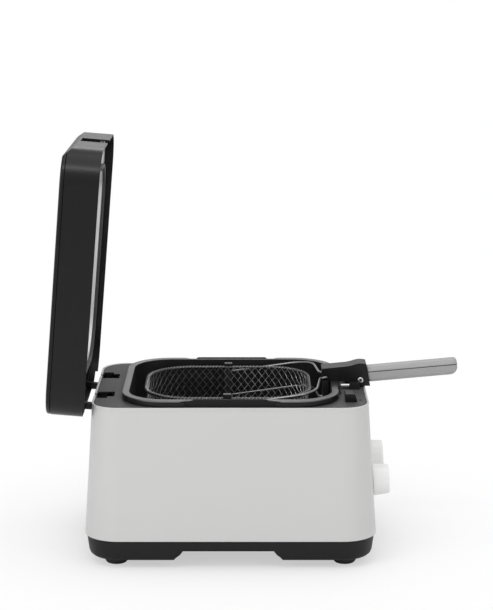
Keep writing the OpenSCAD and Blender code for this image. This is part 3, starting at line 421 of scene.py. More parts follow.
def grip_plastic():
    """Mid grey, dark in the parting line: a narrow band across the grip's own height."""
    tilt, grain = math.radians(GRIP_TILT), noise(2200, detail=3)
    height = (axis(2) - GRIP_Z * mm) * math.cos(tilt) - (axis(0) - GRIP_X * mm) * math.sin(tilt)
    seam = 1 - step(Shade.math("ABSOLUTE", height - 4 * mm), 0.35 * mm, 0.75 * mm)
    body = blend(noise(14), grey(0.30), grey(0.325))
    return {"Base Color": blend(seam, body, grey(0.035)), "bump": (grain, 0.02),
            "Roughness": 0.40 + 0.06 * (grain - 0.5)}


looks = {
    "white_shell": finish("white_gloss", plastic(0.56, 0.30, 0.0, 900, 0.006, warm=0.004,
                                                 drift=0.01)),
    "knob_white": finish("knob_gloss", plastic(0.86, 0.26, 0.0, 900, 0.006, coat=0.2,
                                               warm=0.004, drift=0.01)),
    "black_base": finish("base_black", plastic(0.008, 0.45, 0.02, shine=0.25)),
    "lid_black": finish("lid_black", plastic(0.006, 0.30, 0.006, 900, shine=0.26)),
    "grip_grey": finish("grip_grey", grip_plastic),
    "deck_grey": finish("deck_grey", deck_plastic),
    "control_case": finish("phenolic", plastic(0.48, 0.5, 0.02, 1500, 0.06, warm=0.09)),
}
print("plastics:", ", ".join(sorted(looks)))

# %% [markdown]
# ### Metals
# Drawn steel has long fine lines in the direction it was drawn, so its noise is stretched
# along the piece and squeezed across it. The hot plate is cast and then turned, so its lines
# are rings: noise of the distance from the middle.

# %% Metals
def steel(tone, rough, stretch, depth, scale=900, streak=0.12, warm=0.0):
    """Metal with lines: noise that is long on one axis and short on the others."""
    def recipe():
        line, cloud = noise(scale, stretch, detail=4), noise(22)
        return {"Base Color": blend(line, grey(tone * 0.96, warm), grey(tone * 1.03, warm)),
                "Metallic": 1.0, "bump": (line, depth),
                "Roughness": rough + streak * (line - 0.5) + 0.08 * (cloud - 0.5)}
    return recipe


def drawn_steel():
    """Bright satin walls, with painted shade darkening the drum below them and the rolled rim on
    top.
    """
    recipe, z = steel(0.64, 0.40, (1, 1, 0.03), 0.0005, scale=500, streak=0.04)(), axis(2)
    # painted shade: the drum below the shoulder is darkened to grey 0.25 in the base colour
    drum = 1 - step(z, (SHOULDER_Z - 6) * mm, (SHOULDER_Z + 9) * mm)
    # painted shade: the rolled rim on top is darkened to grey 0.17 in the base colour
    rim = step(z, (RIM_UNDER - 1.2) * mm, RIM_UNDER * mm)
    walls = blend(drum, recipe["Base Color"], grey(0.25))
    return recipe | {"Base Color": blend(rim, walls, grey(0.17))}


def turned_casting():
    """Rings from the lathe over the speckle of cast metal."""
    x, y = axis(0), axis(1)
    radius = Shade.math("SQRT", x * x + y * y)
    ring = Shade.math("SINE", radius * 6500.0)
    speckle = noise(900, detail=4)
    return {"Base Color": blend(speckle, grey(0.25), grey(0.42)), "Metallic": 0.85,
            "Roughness": 0.42 + 0.1 * (speckle - 0.5), "bump": (ring * 0.6 + speckle, 0.05)}


def heat_tinted():
    """A sheathed tube browned by heat in patches."""
    patch = step(noise(45, detail=4), 0.35, 0.7)
    return {"Base Color": blend(patch, (0.16, 0.15, 0.14), (0.10, 0.065, 0.045)),
            "Metallic": 0.9, "Roughness": 0.38 + 0.16 * patch, "bump": (noise(1800), 0.02)}


looks |= {
    "bowl_steel": finish("bowl_steel", drawn_steel),
    "well_steel": finish("well_steel", steel(0.78, 0.46, (1, 1, 0.05), 0.002, warm=0.008)),
    "liner_steel": finish("liner_steel", steel(0.86, 0.48, (1, 0.05, 1), 0.001)),
    "wire_steel": finish("wire_steel", steel(0.24, 0.3, (1, 1, 1), 0.006, 1600)),
    "mesh_steel": finish("mesh_steel", steel(0.30, 0.36, (1, 1, 1), 0.006, 1600)),
    "zinc_plate": finish("zinc", steel(0.55, 0.32, (1, 1, 1), 0.01, 300, warm=0.01)),
    "bracket_dark": finish("bracket_dark", steel(0.10, 0.4, (1, 1, 1), 0.02, 700)),
    "hot_plate_cast": finish("turned_casting", turned_casting),
    "element_steel": finish("heat_tinted", heat_tinted),
}
print(len(looks), "finishes so far")

# %% [markdown]
# ### Coating, rubber, silicone and felt
# The bowl's lining is a sprayed non-stick coating with pale specks. The feet are rubber, the
# lid's seal is silicone, and the filter is a mat of fibres: noise squeezed along two axes at
# once gives crossing threads.

# %% Soft and sprayed finishes
def non_stick():
    """Black coating with sparse pale specks."""
    speck = step(noise(2400, detail=1), 0.70, 0.74)
    return {"Base Color": blend(speck, grey(0.010), grey(0.07)),
            "Roughness": 0.34 + 0.1 * (noise(70) - 0.5), "bump": (noise(1500), 0.012)}


def felt():
    """Fibres in two directions."""
    fibre = noise(900, (1, 0.12, 1), 4) + noise(900, (0.12, 1, 1), 4)
    return {"Base Color": blend(fibre * 0.5, (0.55, 0.54, 0.50), (0.86, 0.85, 0.80)),
            "Roughness": 0.95, "bump": (fibre, 0.25)}


def soft_rubber(tone, rough):
    def recipe():
        dust = noise(300, detail=4)
        return {"Base Color": blend(dust, grey(tone * 0.8), grey(tone * 1.3)),
                "Roughness": rough + 0.08 * (dust - 0.5), "bump": (noise(2000), 0.03)}
    return recipe


looks |= {
    "nonstick": finish("non_stick", non_stick),
    "filter_felt": finish("felt", felt),
    "rubber_feet": finish("rubber", soft_rubber(0.016, 0.62)),
    "seal_silicone": finish("silicone", soft_rubber(0.045, 0.5)),
}
print("all finishes:", ", ".join(sorted(looks)))

# %% [markdown]
# ## Every CAD node gets its finish
# The record says which slot each node takes. `dress` gives a new piece its body, its slot
# and that slot's finish in one line.

# %% Finishes onto nodes
slots = {row["node"]: row["material_slot"] for row in frame["record"]["subparts"]}
for name, node in frame["nodes"].items():
    for holder in node.material_slots:
        holder.material = looks[slots[name]]
    if not node.material_slots:
        node.data.materials.append(looks[slots[name]])


def dress(piece, body, slot, *nodes):
    """The piece rides on a body, takes a slot's finish and stands for the nodes."""
    piece.data.materials.clear()
    piece.data.materials.append(looks[slot])
    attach(piece, body)
    if nodes:
        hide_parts(*nodes)
    print(piece.name, len(piece.data.polygons), "faces on", body)
    return piece


print("dressed", len(slots), "nodes")

# %% [markdown]
# ## Housing
# The white wall leans in as it rises and ends in a rolled lip that stands a little proud and
# catches the light. One closed profile draws both sides of the wall: up the outside, over
# the lip, and down the inside.

# %% Housing wall
def lean(z):
    """How far the wall has leaned in at height z: a straight line from foot to top."""
    return LEAN * (z - SHELL_Z) / (TOP_Z - SHELL_Z)


WALL = 2.2                            # thickness of the housing's wall
top = lean(TOP_Z)
outside = [(2.0, SHELL_Z), (0.1, SHELL_Z + 0.1), *[(lean(z), z) for z in (39, 80, 120, 160, 198)],
           (top - 0.1, TOP_Z - 2.2)]
lip = [(top - 0.45, TOP_Z - 1.3), (top - 0.4, TOP_Z), (top + 0.3, TOP_Z + 0.5),
       (top + 1.6, TOP_Z + 0.45), (top + WALL, TOP_Z - 0.4)]
inside = [*[(lean(z) + WALL, z) for z in (198, 60, 39)], (WALL, SHELL_Z)]
wall = np.concatenate([outside[:-1], eased([outside[-1]] + lip, 0.6), inside])
housing = loft("housing", BODY, wall, round_rows=True)
notches = [box((-190, y - 6, HINGE[1] - 4.5), (HINGE[0] + 2, y + 6, TOP_Z + 20))
           for y in (-54, 54)]
dress(cut(housing, *notches), "root", "white_shell", "outer_shell")

# %% [markdown]
# ## Base and feet
# The base tray keeps its CAD shape with rounded edges: the hand recesses are flat cuts
# through a flared skirt. A foot is a lathe profile with a shallow dish under it, drawn at
# its four places.

# %% Base
dress(softened("base_tray", 0.7), "root", "black_base")
FOOT_X, FOOT_Y, FOOT_TOP = 143, 100, TRAY_Z - 0.05
foot_profile = eased([(0.1, 0.9), (7, 0.9), (8.2, 0), (12, 0), (14.2, 2.6), (15, 5.5),
                      (15, FOOT_TOP), (0.1, FOOT_TOP)], 1.2, 4)
spots = [(x, y, 0) for x in (-FOOT_X, FOOT_X) for y in (-FOOT_Y, FOOT_Y)]
feet = lathe("feet_dished", foot_profile, 48, spots, caps=BOTH)
dress(feet, "root", "rubber_feet", "feet")

# %% [markdown]
# ## Deck
# The deck, its collar round the bowl, the catches and the small blocks come from the CAD
# with softened edges. The material does the rest: it is grey only on the deck's own face.

# %% Deck and what stands on it
dress(softened("deck", 0.35), "root", "deck_grey")
dress(softened("lid_catches", 0.8, 3), "root", "lid_black")
dress(softened("cord_gland", 0.5, 3), "root", "black_base")

# %% [markdown]
# ## Well and hot plate
# The well is a deep drawn pan with an even corner round its floor. The hot plate is a lathe
# piece: its face has three shallow steps that the turned rings run across.

# %% Well
WELL = (271.2, 242.2, 55.6)
WELL_Z, WELL_BEND, SHEET = 26.4, 8, 0.8    # underside, radius round the floor, thickness
bend = [(WELL_BEND * (1 - math.sin(t)), WELL_Z + WELL_BEND * (1 - math.cos(t)))
        for t in np.linspace(0, math.pi / 2, 8)]
well_out = [(70, WELL_Z), *bend, (0, 189.2), (-2.6, 190)]
well_in = [(-2.6, 190.3), (SHEET, 190.2),
           *[(i * 0.9 + SHEET, z + SHEET) for i, z in bend[::-1]], (70, 27.2)]
rows = np.array(well_out + well_in)
well = loft("well_drawn", WELL, rows, caps=BOTH)
TUBE_R, TUBE_TURN = 52, math.radians(16)    # where the heating tube's ends pass the floor
holes = [lathe("hole", [(5, 20), (5, 35)], 24,
               [(TUBE_R * math.cos(a), TUBE_R * math.sin(a), 0)], caps=BOTH)
         for a in (TUBE_TURN, -TUBE_TURN)]
dress(cut(well, *holes), "root", "well_steel", "well_liner")

# %% Hot plate
plate_z = DRUM_Z - 8.3
above = [(0.1, 7.6), (24, 7.6), (25, 7.3), (60, 7.3), (61, 8), (PLATE_R - 1.2, 8), (PLATE_R, 7),
         (PLATE_R, 2), (PLATE_R - 4, 1.6), (PLATE_R - 4, 0), (56.2, 0), (55.4, 1), (52, 0.6),
         (48.6, 1), (47.8, 0), (9.6, 0), (9.5, 2), (0.1, 2)]
face = [(r, plate_z + z) for r, z in above]
plate = lathe("hot_plate_turned", eased(face, 0.4, 3), 96, caps=BOTH)
dress(plate, "root", "hot_plate_cast", "hot_plate")

# %% [markdown]
# ## Knobs
# A knob is a lathe profile whose flank has shallow grip flutes: the radius is
# *r - depth * (1 + cos(24 a)) / 2*, and the depth fades out towards the base and the face.
# It is turned onto the leaning wall, and a box cuts the pointer groove.

# %% Knobs
lean_angle = math.atan(LEAN / (TOP_Z - SHELL_Z))
tip = math.pi / 2 - lean_angle
out_of_wall = np.array([[math.cos(tip), 0, math.sin(tip)], [0, 1, 0],
                        [-math.sin(tip), 0, math.cos(tip)]])
knob_base = np.array([BODY[0] / 2 - lean(KNOB_Z), 0, KNOB_Z])
FLUTES = 24


def knob(name, y):
    """Radius r(z) less a flute of depth d(z) * (1 + cos 24a) / 2, on the wall at side y."""
    profile = eased([(0.1, 0.8), (19.2, 0.8), (20, 1.6), (20, 3.4), (18.3, 20.8), (17, 22),
                     (15.4, 21.7), (14.6, 21.3), (0.1, 21.2)], 0.9, 5)
    r, z = profile.T
    a = np.linspace(0, 2 * np.pi, 192, endpoint=False)
    depth = 0.45 * np.exp(-((z - 12) / 6.5) ** 4) * (r > 17)
    reach = r[:, None] - depth[:, None] * (1 + np.cos(FLUTES * a)) / 2
    grid = np.stack([reach * np.cos(a), reach * np.sin(a),
                     np.broadcast_to(z[:, None], reach.shape)], -1)
    turned = lambda points: points @ out_of_wall.T + knob_base + [0, y, 0]
    piece = surface(name, turned(grid), caps=BOTH)
    return cut(piece, box((-16.4, -0.9, 20.2), (-6.5, 0.9, 25), turned))


dress(knob("thermostat_dial_knob", -KNOB_Y), "thermostat_dial", "knob_white", "thermostat_knob")
dress(knob("timer_dial_knob", KNOB_Y), "timer_dial", "knob_white", "timer_knob")

# %% [markdown]
# ## Bowl
# The steel bowl is a rounded rectangle above and a round drum below. Seen from above, each
# is a reach in every direction. For the rectangle it is the distance to its side or its
# corner arc, and for the drum it is one radius. The drawn steel follows the larger of the
# two, eased where they cross, which makes the soft shoulder and the slight bulge on the long
# sides.

# %% Reach of a rounded rectangle
def reach_at(angle, length, width, radius):
    """Distance to a side, a/|cos| or b/|sin|, or to the corner arc:
    d.C + sqrt((d.C)^2 - C.C + r^2) with C the arc's centre."""
    c, s = np.abs(np.cos(angle)) + 1e-9, np.abs(np.sin(angle)) + 1e-9
    a, b = length / 2, width / 2
    along = c * (a - radius) + s * (b - radius)
    square = along ** 2 - (a - radius) ** 2 - (b - radius) ** 2 + radius ** 2
    arc = along + np.sqrt(np.maximum(square, 0))
    on_end = a / c * s <= b - radius
    on_side = b / s * c <= a - radius
    return np.where(on_end, a / c, np.where(on_side, b / s, arc))


def larger(first, second, ease=1.6):
    """Smooth maximum: (p + q + sqrt((p - q)^2 + ease^2)) / 2, less its offset far away."""
    return (first + second + np.sqrt((first - second) ** 2 + ease ** 2)) / 2 - ease * 0.06


centres, directions = plan(*BOWL, corner=26, side=21)
outline = centres + BOWL[2] * directions
around = np.unwrap(np.arctan2(outline[:, 1], outline[:, 0]))
print("bowl outline", len(around), "directions")

# %% Bowl wall
def bowl_wall(inset):
    """Rows of reach and height, `inset` mm inside the steel's outer face."""
    base, turn = SHOULDER_Z + inset, 15.0 - inset
    drum = [(DRUM_R - 4 - 0.6 * inset, DRUM_Z + inset),
            (DRUM_R - 1.2 - inset, DRUM_Z + 1.2 + inset), (DRUM_R - inset, DRUM_Z + 4 + inset),
            (DRUM_R - inset, base - 2), (DRUM_R - inset, base)]
    rows = [np.stack([np.full(len(around), r), np.full(len(around), z)], -1) for r, z in drum]
    swing = np.linspace(0, np.pi / 2, 10)
    corner = [(turn + 6, base), (turn + 3, base),
              *zip(turn * (1 - np.sin(swing)), base + turn * (1 - np.cos(swing)))]
    high = base + 20
    walls = [(0, z) for z in (base + 17.5, high, high + 8, 115, 135, 160, 185, 205, 209)]
    for side, z in corner + walls:
        inner = side + inset
        rect = reach_at(around, BOWL[0] - 2 * inner, BOWL[1] - 2 * inner, BOWL[2] - inner)
        fading = DRUM_R - inset - 3.8 * np.clip((z - base - 4) / 15, 0, 1)
        reach = larger(rect, fading) if z < high else rect
        rows.append(np.stack([reach, np.full(len(around), z)], -1))
    return np.array(rows)


def around_bowl(rows):
    """(reach * cos a, reach * sin a, z) for rows of (reach, z)."""
    r, z = rows[..., 0], rows[..., 1]
    return np.stack([r * np.cos(around), r * np.sin(around), z], -1)


steel_out, steel_in = around_bowl(bowl_wall(0)), around_bowl(bowl_wall(0.8))
print("bowl wall", steel_out.shape)

# %% [markdown]
# The rim is a flange with a rolled edge. It is narrow over the middle of the long sides,
# where the raised tabs of the collar stand: there the outer edge steps in along a smooth
# step, *3t^2 - 2t^3*, in the distance from the middle.

# %% Rim flange
GAP = 112.0                           # the bands and the wide flange break off here


def smooth(value, low, high):
    """3t^2 - 2t^3 with t the share of the way from low to high."""
    t = np.clip((value - low) / (high - low), 0, 1)
    return t * t * (3 - 2 * t)


def flange_size(inset):
    """Length, width and corner radius of the flange, `inset` mm inside its edge."""
    return BOWL[0] + 15.8 - 2 * inset, BOWL[1] + 19 - 2 * inset, BOWL[2] + 7.9 - inset


def rim_edge(inset):
    """The flange's outline, with its edge drawn in over the tabs."""
    r = reach_at(around, *flange_size(inset))
    x, y = r * np.cos(around), r * np.sin(around)
    limit = BOWL[1] / 2 + 3.9 - inset + 10 * smooth(np.abs(x), GAP / 2 - 1.2, GAP / 2 + 1.2)
    return np.stack([x, np.clip(y, -limit, limit)], -1)


def ring_row(outline, z):
    """One row of points at height z on a flat outline."""
    return np.concatenate([outline, np.full((len(outline), 1), z)], -1)[None]


flange = [ring_row(rim_edge(0.7), RIM_UNDER), ring_row(rim_edge(0.1), RIM_UNDER + 0.4),
          ring_row(rim_edge(0), RIM_UNDER + 1.0), ring_row(rim_edge(0.15), RIM_TOP - 0.5),
          ring_row(rim_edge(0.8), RIM_TOP)]
throat = [steel_out[-1:] * [1, 1, 0] + [0, 0, RIM_UNDER], *flange,
          steel_out[-1:] * [1, 1, 0] + [0, 0, RIM_TOP],
          steel_in[-1:] * [1, 1, 0] + [0, 0, RIM_TOP - 0.5]]
bowl = surface("bowl_drawn", np.concatenate([steel_out, *throat, steel_in[::-1]]), caps=BOTH)
dress(bowl, "bowl", "bowl_steel", "bowl_shell")

# %% Lining, rim bands and feet
coat_out, coat_in = around_bowl(bowl_wall(0.85)), around_bowl(bowl_wall(1.2))
top_edge = coat_in[-1:] * [1, 1, 0] + [0, 0, RIM_TOP - 0.3]
coat = surface("bowl_coating", np.concatenate([coat_out, top_edge, coat_in[::-1]]), caps=BOTH)
dress(coat, "bowl", "nonstick", "bowl_lining")


def band(name, mirror):
    """Profile of (inset, z) carried along the rim's outline, between the two tabs."""
    profile = eased([(0.5, RIM_UNDER - 5.6), (0, RIM_UNDER - 5.0), (0, RIM_UNDER - 0.1),
                     (1.1, RIM_UNDER - 0.1), (1.1, RIM_UNDER - 5.4),
                     (0.5, RIM_UNDER - 5.6)], 0.4, 3)[:-1]
    inset, z = profile.T
    end = math.atan2(BOWL[1] / 2 + 9.5, GAP / 2)
    angle = np.linspace(-end, end, 181)[:, None]
    r = reach_at(angle, *flange_size(inset))
    grid = np.stack([mirror * r * np.cos(angle), r * np.sin(angle),
                     np.broadcast_to(z, r.shape)], -1)
    return surface(name, grid, caps=BOTH)


bands = joined(band("rim_bands", 1), band("band", -1))
dress(bands, "bowl", "black_base", "bowl_rim_bands")
foot = eased([(0.1, 27.9), (5.6, 27.9), (7.2, 29), (8, 55.0), (0.1, 55.0)], 0.8, 4)
BOWL_FEET_R = 85
spots = [(BOWL_FEET_R * math.cos(math.radians(a)), BOWL_FEET_R * math.sin(math.radians(a)), 0)
         for a in (105, 225, 345)]
bowl_feet = lathe("bowl_feet_turned", foot, 40, spots, caps=BOTH)
dress(bowl_feet, "bowl", "black_base", "bowl_feet")

# %% [markdown]
# ## Lid
# The frame, the cover, the pressed liner, the seal and the hinge arms take softened copies
# of their CAD nodes. A wide round on the frame and the cover makes the thin line of light
# that parts them.

# %% Lid
dress(softened("lid_frame", 0.9, 3), "lid", "lid_black")
dress(softened("lid_cover", 0.9, 3), "lid", "lid_black")
dress(softened("lid_liner", 0.5, 2), "lid", "liner_steel")
dress(softened("lid_seal", 0.9, 3), "lid", "seal_silicone")
dress(softened("hinge_arms", 0.6, 3), "lid", "lid_black")

# %% [markdown]
# ## Handle
# The grip is a superellipse, *y = w |cos p|^(2/n), z = h |sin p|^(2/n)*, swept along a line
# that rises 5 degrees. Its height and width shrink along quarter circles at the free end,
# and the first rows are sheared to lie on the head's slanted face. A narrow dip in the
# width, *0.7 exp(-((z - 4)/0.5)^2)*, is the parting line of its two shells.

# %% Grip
def grip():
    """Superellipse sections along the tilted axis, with rounded ends and a parting line."""
    s = np.concatenate([[0, 0.4, 1.2], np.linspace(3, 104, 24),
                        105 + 10 * np.sin(np.linspace(0.1, 1.5, 14))])
    angle = np.linspace(0, 2 * np.pi, 176, endpoint=False)
    under = np.where(s > 105, np.sqrt(np.clip(100 - (s - 105) ** 2, 0, None)), 10.0)
    round_top = 10 - 3.5 + np.sqrt(np.clip(3.5 ** 2 - (s - 111.5) ** 2, 0, None))
    over = np.where(s > 111.5, round_top, 10.0)
    wide = np.where(s > 109, 13 - 6 + np.sqrt(np.clip(36 - (s - 109) ** 2, 0, None)), 13.0)
    wide, over, under = [v - 0.5 * np.exp(-s / 0.5) for v in (wide, over, under)]
    power = 2 / 3.4
    c, n = np.cos(angle), np.sin(angle)
    y = wide[:, None] * np.sign(c) * np.abs(c) ** power
    z = np.where(n > 0, over[:, None], under[:, None]) * np.sign(n) * np.abs(n) ** power
    y = y - np.sign(y) * 0.7 * np.exp(-((z - 4) / 0.5) ** 2) * (np.abs(y) > 5)
    along = s[:, None] + (1 - s[:, None] / 115) * (0.5 - 0.093 * z)
    tilt = math.radians(GRIP_TILT)
    x = GRIP_X + along * math.cos(tilt) - z * math.sin(tilt)
    up = GRIP_Z + along * math.sin(tilt) + z * math.cos(tilt)
    return surface("grip_moulded", np.stack([x, y, up], -1), caps=BOTH)


dress(grip(), "handle", "grip_grey", "handle_grip")
dress(softened("handle_head", 1.0, 3), "handle", "lid_black")
dress(softened("link_plate", 0.5, 3), "handle", "bracket_dark")

# %% [markdown]
# The hollow rivet is a lathe ring laid across the handle: a tube whose two ends are rolled
# outwards over the head.

# %% Rivet
roll = [(1.3, 14.4), (1.6, 15.0), (2.4, 15.1), (3.3, 14.7), (3.7, 14.1), (2.5, 14.05)]
tube_profile = np.array(roll + [(r, -z) for r, z in roll[::-1]])
across = [[1, 0, 0], [0, 0, 1], [0, 1, 0]]
hole = (PIVOT[0] + 43.4, 0, HEAD_LOW + 0.6)
rivet = lathe("rivet_rolled", tube_profile, 40, [hole], across, round_rows=True)
dress(rivet, "handle", "zinc_plate", "handle_rivet")

# %% [markdown]
# ## Basket
# Wires are drawn as tubes round many paths at once: with T along the path and N a direction
# out of the surface, the ring is *path + r (cos a, sin a) in (T x N, N)*.

# %% Many tubes in one mesh
def wires(name, paths, radius, outward, sides=5):
    """Rings path + r (S cos a + N sin a), S = T x N, joined along each path."""
    paths = np.asarray(paths, float)
    count, n = paths.shape[:2]
    tangent = np.gradient(paths, axis=1)
    tangent /= np.linalg.norm(tangent, axis=-1, keepdims=True)
    side = np.cross(tangent, np.broadcast_to(outward, paths.shape))
    side /= np.linalg.norm(side, axis=-1, keepdims=True)
    normal = np.cross(side, tangent)
    a = np.linspace(0, 2 * np.pi, sides, endpoint=False)
    ring = side[:, :, None] * np.cos(a)[:, None] + normal[:, :, None] * np.sin(a)[:, None]
    points = paths[:, :, None] + radius * ring
    w, r, c = np.arange(count)[:, None, None], np.arange(n - 1)[None, :, None], np.arange(sides)
    base = (w * n + r) * sides
    faces = np.stack(np.broadcast_arrays(base + c, base + (c + 1) % sides,
                                         base + sides + (c + 1) % sides, base + sides + c), -1)
    ends = [[[(i * n + k) * sides + j for j in range(sides)] for k in (0, n - 1)]
            for i in range(count)]
    return add_mesh(name, points.reshape(-1, 3), faces.reshape(-1, 4).tolist() + sum(ends, []))


# %% [markdown]
# The rim is a thick wire bent round the rounded rectangle. The mesh is folded over it, so a
# thin wire coils round it: *radius (cos q, sin q)* in the plane across the rim, with q
# turning as the path goes on.

# %% Rim and its coil
RIM_WIRE, COIL_R, THIN_WIRE = 1.75, 2.05, 0.35    # radii of the rim, the coil and the mesh
rim_centres, rim_directions = plan(*BASKET, corner=40, side=60)
rim_line = rim_centres + BASKET[2] * rim_directions
steps = np.linalg.norm(np.diff(rim_line, axis=0, append=rim_line[:1]), axis=1)
travel = np.concatenate([[0], np.cumsum(steps)])
PERIMETER = travel[-1]


def on_rim(t):
    """Centre and direction at share t of the way round the rim, by interpolation."""
    s = np.mod(t, 1) * PERIMETER
    wrap = lambda v: np.interp(s, travel, np.append(v, v[0]))
    pick = lambda pair: np.stack([wrap(pair[:, 0]), wrap(pair[:, 1])], -1)
    return pick(rim_centres), pick(rim_directions)


def basket_point(t, inset, depth):
    """Centre + (radius - inset) * direction, `depth` under the rim."""
    centre, direction = on_rim(t)
    flat = centre + (BASKET[2] - inset)[..., None] * direction + [BASKET_X, 0]
    return np.concatenate([flat, (BASKET_RIM_Z - depth)[..., None]], -1)


q = np.linspace(0, 2 * np.pi, 12, endpoint=False)
t = np.linspace(0, 1, 260, endpoint=False)
still = 0 * t[:, None]
grid = basket_point(t[:, None] + 0 * q, still - RIM_WIRE * np.cos(q), still - RIM_WIRE * np.sin(q))
dress(surface("basket_rim_wire", grid, round_rows=True), "basket", "bracket_dark", "basket_rim")
turns = 150
t = np.linspace(0, 1, turns * 12 + 1)
phase = 2 * np.pi * turns * t
coil = basket_point(t, -COIL_R * np.cos(phase), -COIL_R * np.sin(phase))
middle = basket_point(t, 0 * t, 0 * t)
dress(wires("basket_rim_coil", coil[None], 0.42, coil - middle), "basket", "mesh_steel")

# %% [markdown]
# ### Woven side
# Two families of wires run down the side, one leaning left and one leaning right. A wire's
# place round the rim is *t = (k + sign * s / h) / N* at s millimetres down, so it moves one
# diamond sideways for each diamond down. Crossings come at every half diamond, and the
# offset *a * sign * cos(2 pi s / h)* lifts one family over the other there, in turn.

# %% Side weave
DIAMONDS, HIGH, WEAVE = 72, 11.5, 0.44
side_line = eased([(RIM_WIRE, 0), (RIM_WIRE, 44), (4.1, 52), (11.2, 60.5), (30, 69), (50, 74.4),
                   (72, 76), (88, 76)], 5, 6)
side_way = np.concatenate([[0], np.cumsum(np.linalg.norm(np.diff(side_line, axis=0), axis=1))])
down = np.linspace(0, 66, 64)
slope = np.gradient(side_line, axis=0)
slope /= np.linalg.norm(slope, axis=1, keepdims=True)


def side_at(s, out):
    """Inset and depth at s mm down the side, moved `out` along the side's normal."""
    inset, depth = (np.interp(s, side_way, side_line[:, i]) for i in (0, 1))
    a, b = (np.interp(s, side_way, slope[:, i]) for i in (0, 1))
    return inset - out * b, depth + out * a


def belly(points):
    """Below 46 mm the depth shrinks toward the ends by 0.3 (x/80)^2: the bottom sags."""
    share = 0.3 * np.minimum(np.abs(points[..., 0] - BASKET_X) / 80, 1) ** 2
    lift = share * np.maximum(BASKET_RIM_Z - 46 - points[..., 2], 0)
    return points + lift[..., None] * [0, 0, 1]


families = []
for sign in (1, -1):
    t = (np.arange(DIAMONDS)[:, None] + sign * down / HIGH) / DIAMONDS
    inset, depth = side_at(down, WEAVE * sign * np.cos(2 * np.pi * down / HIGH))
    inset, depth = np.broadcast_to(inset, t.shape), np.broadcast_to(depth, t.shape)
    families.append(belly(basket_point(t, inset, depth)))
paths = np.concatenate(families)
away = paths - [BASKET_X, 0, BASKET_RIM_Z - 30]
dress(wires("basket_side_weave", paths, THIN_WIRE, away), "basket", "mesh_steel", "basket_mesh")

# %% [markdown]
# ### Woven floor
# The floor is the same weave laid flat: lines *x = k w + sign * y w / h*, kept where they are
# more than 10.5 mm inside the rim, and lifted onto the basket's dished bottom. How far inside a
# point lies is the signed distance to the rounded rectangle.

# %% Floor weave
def inside_rim(x, y):
    """radius - |max(q, 0)| - min(max(qx, qy), 0), with q measured from the corner centres."""
    qx = np.abs(x) - (BASKET[0] / 2 - BASKET[2])
    qy = np.abs(y) - (BASKET[1] / 2 - BASKET[2])
    corner = np.hypot(np.maximum(qx, 0), np.maximum(qy, 0))
    return BASKET[2] - corner - np.minimum(np.maximum(qx, qy), 0)


wide = PERIMETER / DIAMONDS
scan = np.linspace(-84, 84, 500)
FLOOR_EDGE = 10.5                     # how far inside the rim the floor begins
paths = []
for sign in (1, -1):
    for k in range(-19, 20):
        x = k * wide + sign * scan * wide / HIGH
        kept = scan[inside_rim(x, scan) > FLOOR_EDGE]
        if len(kept) > 30:
            y = np.linspace(kept[0], kept[-1], 110)
            x = k * wide + sign * y * wide / HIGH
            depth = np.interp(inside_rim(x, y), side_line[:, 0], side_line[:, 1])
            lift = WEAVE * sign * np.cos(2 * np.pi * y / HIGH)
            flat = np.stack([x + BASKET_X, y, BASKET_RIM_Z - depth + lift], -1)
            paths.append(belly(flat))
dress(wires("basket_floor_weave", paths, THIN_WIRE, (0, 0, 1.0), 4), "basket", "mesh_steel",
      "basket_floor")
dress(softened("basket_brackets", 0.3, 2), "basket", "bracket_dark")

# %% [markdown]
# ## Studio
# A pale sweep runs from the floor up behind the fryer: flat near the camera, then a quarter
# circle, then a wall. Far from the fryer it fades into plain white, so only the soft shadow
# under the feet stays.

# %% Sweep
across_x = np.linspace(-6000, 6000, 9)
BEND = 2500
curve = [(3000 + BEND * math.sin(a), BEND * (1 - math.cos(a)))
         for a in np.linspace(0, math.pi / 2, 16)]
line = np.concatenate([[(-5000, 0), (-2500, 0), (0, 0), (2000, 0)], curve, [(5500, 6000)]])
shape = (len(line), len(across_x))
grid = np.stack([np.broadcast_to(v, shape) for v in (across_x, line[:, :1], line[:, 1:])], -1)
sweep = surface("sweep", grid, open_columns=True)


def paper():
    """White paper: plain diffuse with a touch of tooth."""
    return {"Base Color": blend(noise(4), grey(0.86), grey(0.88)), "Roughness": 0.9}


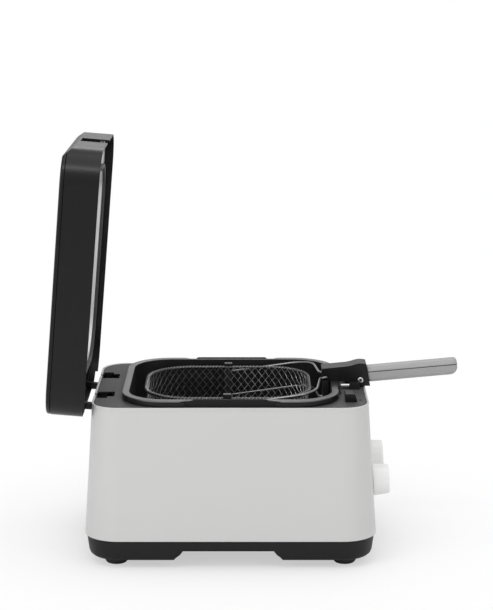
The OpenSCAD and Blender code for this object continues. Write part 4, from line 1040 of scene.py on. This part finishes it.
sweep.data.materials.append(finish("paper", paper))
tree = sweep.data.materials[0].node_tree
Shade.tree = tree
glow = Shade.node("ShaderNodeEmission", {"Color": (1, 1, 1, 1), "Strength": 1.0})
radius = Shade.node("ShaderNodeVectorMath", {0: place()}, output=1, operation="LENGTH")
seen = Shade.node("ShaderNodeLightPath", {}, output=0)
far = (0.52 + 0.48 * step(radius, 0.15, 0.50)) * seen
matt = Shade(tree.nodes["Principled BSDF"].outputs[0])
mix = Shade.node("ShaderNodeMixShader", {0: far, 1: matt, 2: glow})
tree.links.new(mix.out, tree.nodes["Material Output"].inputs[0])

# %% [markdown]
# Soft light comes from two tall boxes left and right, which draw the bright bands on the
# steel, a wide one above, and the white room itself.

# %% Lights
def soft_box(name, at, size, power, aim=(0, 0, 0.15)):
    """An area light at a place, turned to look at a point."""
    light = bpy.data.lights.new(name, "AREA")
    light.shape, light.size, light.size_y, light.energy = "RECTANGLE", size[0], size[1], power
    holder = bpy.data.objects.new(name, light)
    holder.location = at
    holder.rotation_euler = (Vector(aim) - Vector(at)).to_track_quat("-Z", "Y").to_euler()
    bpy.context.scene.collection.objects.link(holder)


soft_box("left", (-1.9, -1.5, 1.1), (0.9, 1.8), 12)
soft_box("right", (1.7, -1.7, 1.2), (0.8, 1.8), 9)
soft_box("top", (0.1, -0.1, 2.3), (2.0, 1.6), 11)
soft_box("strip", (-0.35, -1.05, 1.75), (1.1, 0.22), 7, (-0.15, 0, 0.45))
soft_box("rim", (0.3, 1.9, 1.4), (1.6, 0.8), 5)

world = bpy.data.worlds.new("room")
world.use_nodes = True
bpy.context.scene.world = world
Shade.tree = world.node_tree
background = world.node_tree.nodes["Background"]
heading = Shade.node("ShaderNodeTexCoord", {}, output=0)
up = Shade.node("ShaderNodeSeparateXYZ", {0: heading}, output=2)
room = blend(step(up, -0.1, 0.9), (0.62, 0.62, 0.625), (0.66, 0.66, 0.66))
straight = Shade.node("ShaderNodeLightPath", {}, output=0)
world.node_tree.links.new(blend(straight, room, (1, 1, 1)).out, background.inputs["Color"])
background.inputs["Strength"].default_value = 1.0
bpy.context.scene.view_settings.view_transform = "Standard"
print("five soft boxes and a white room")
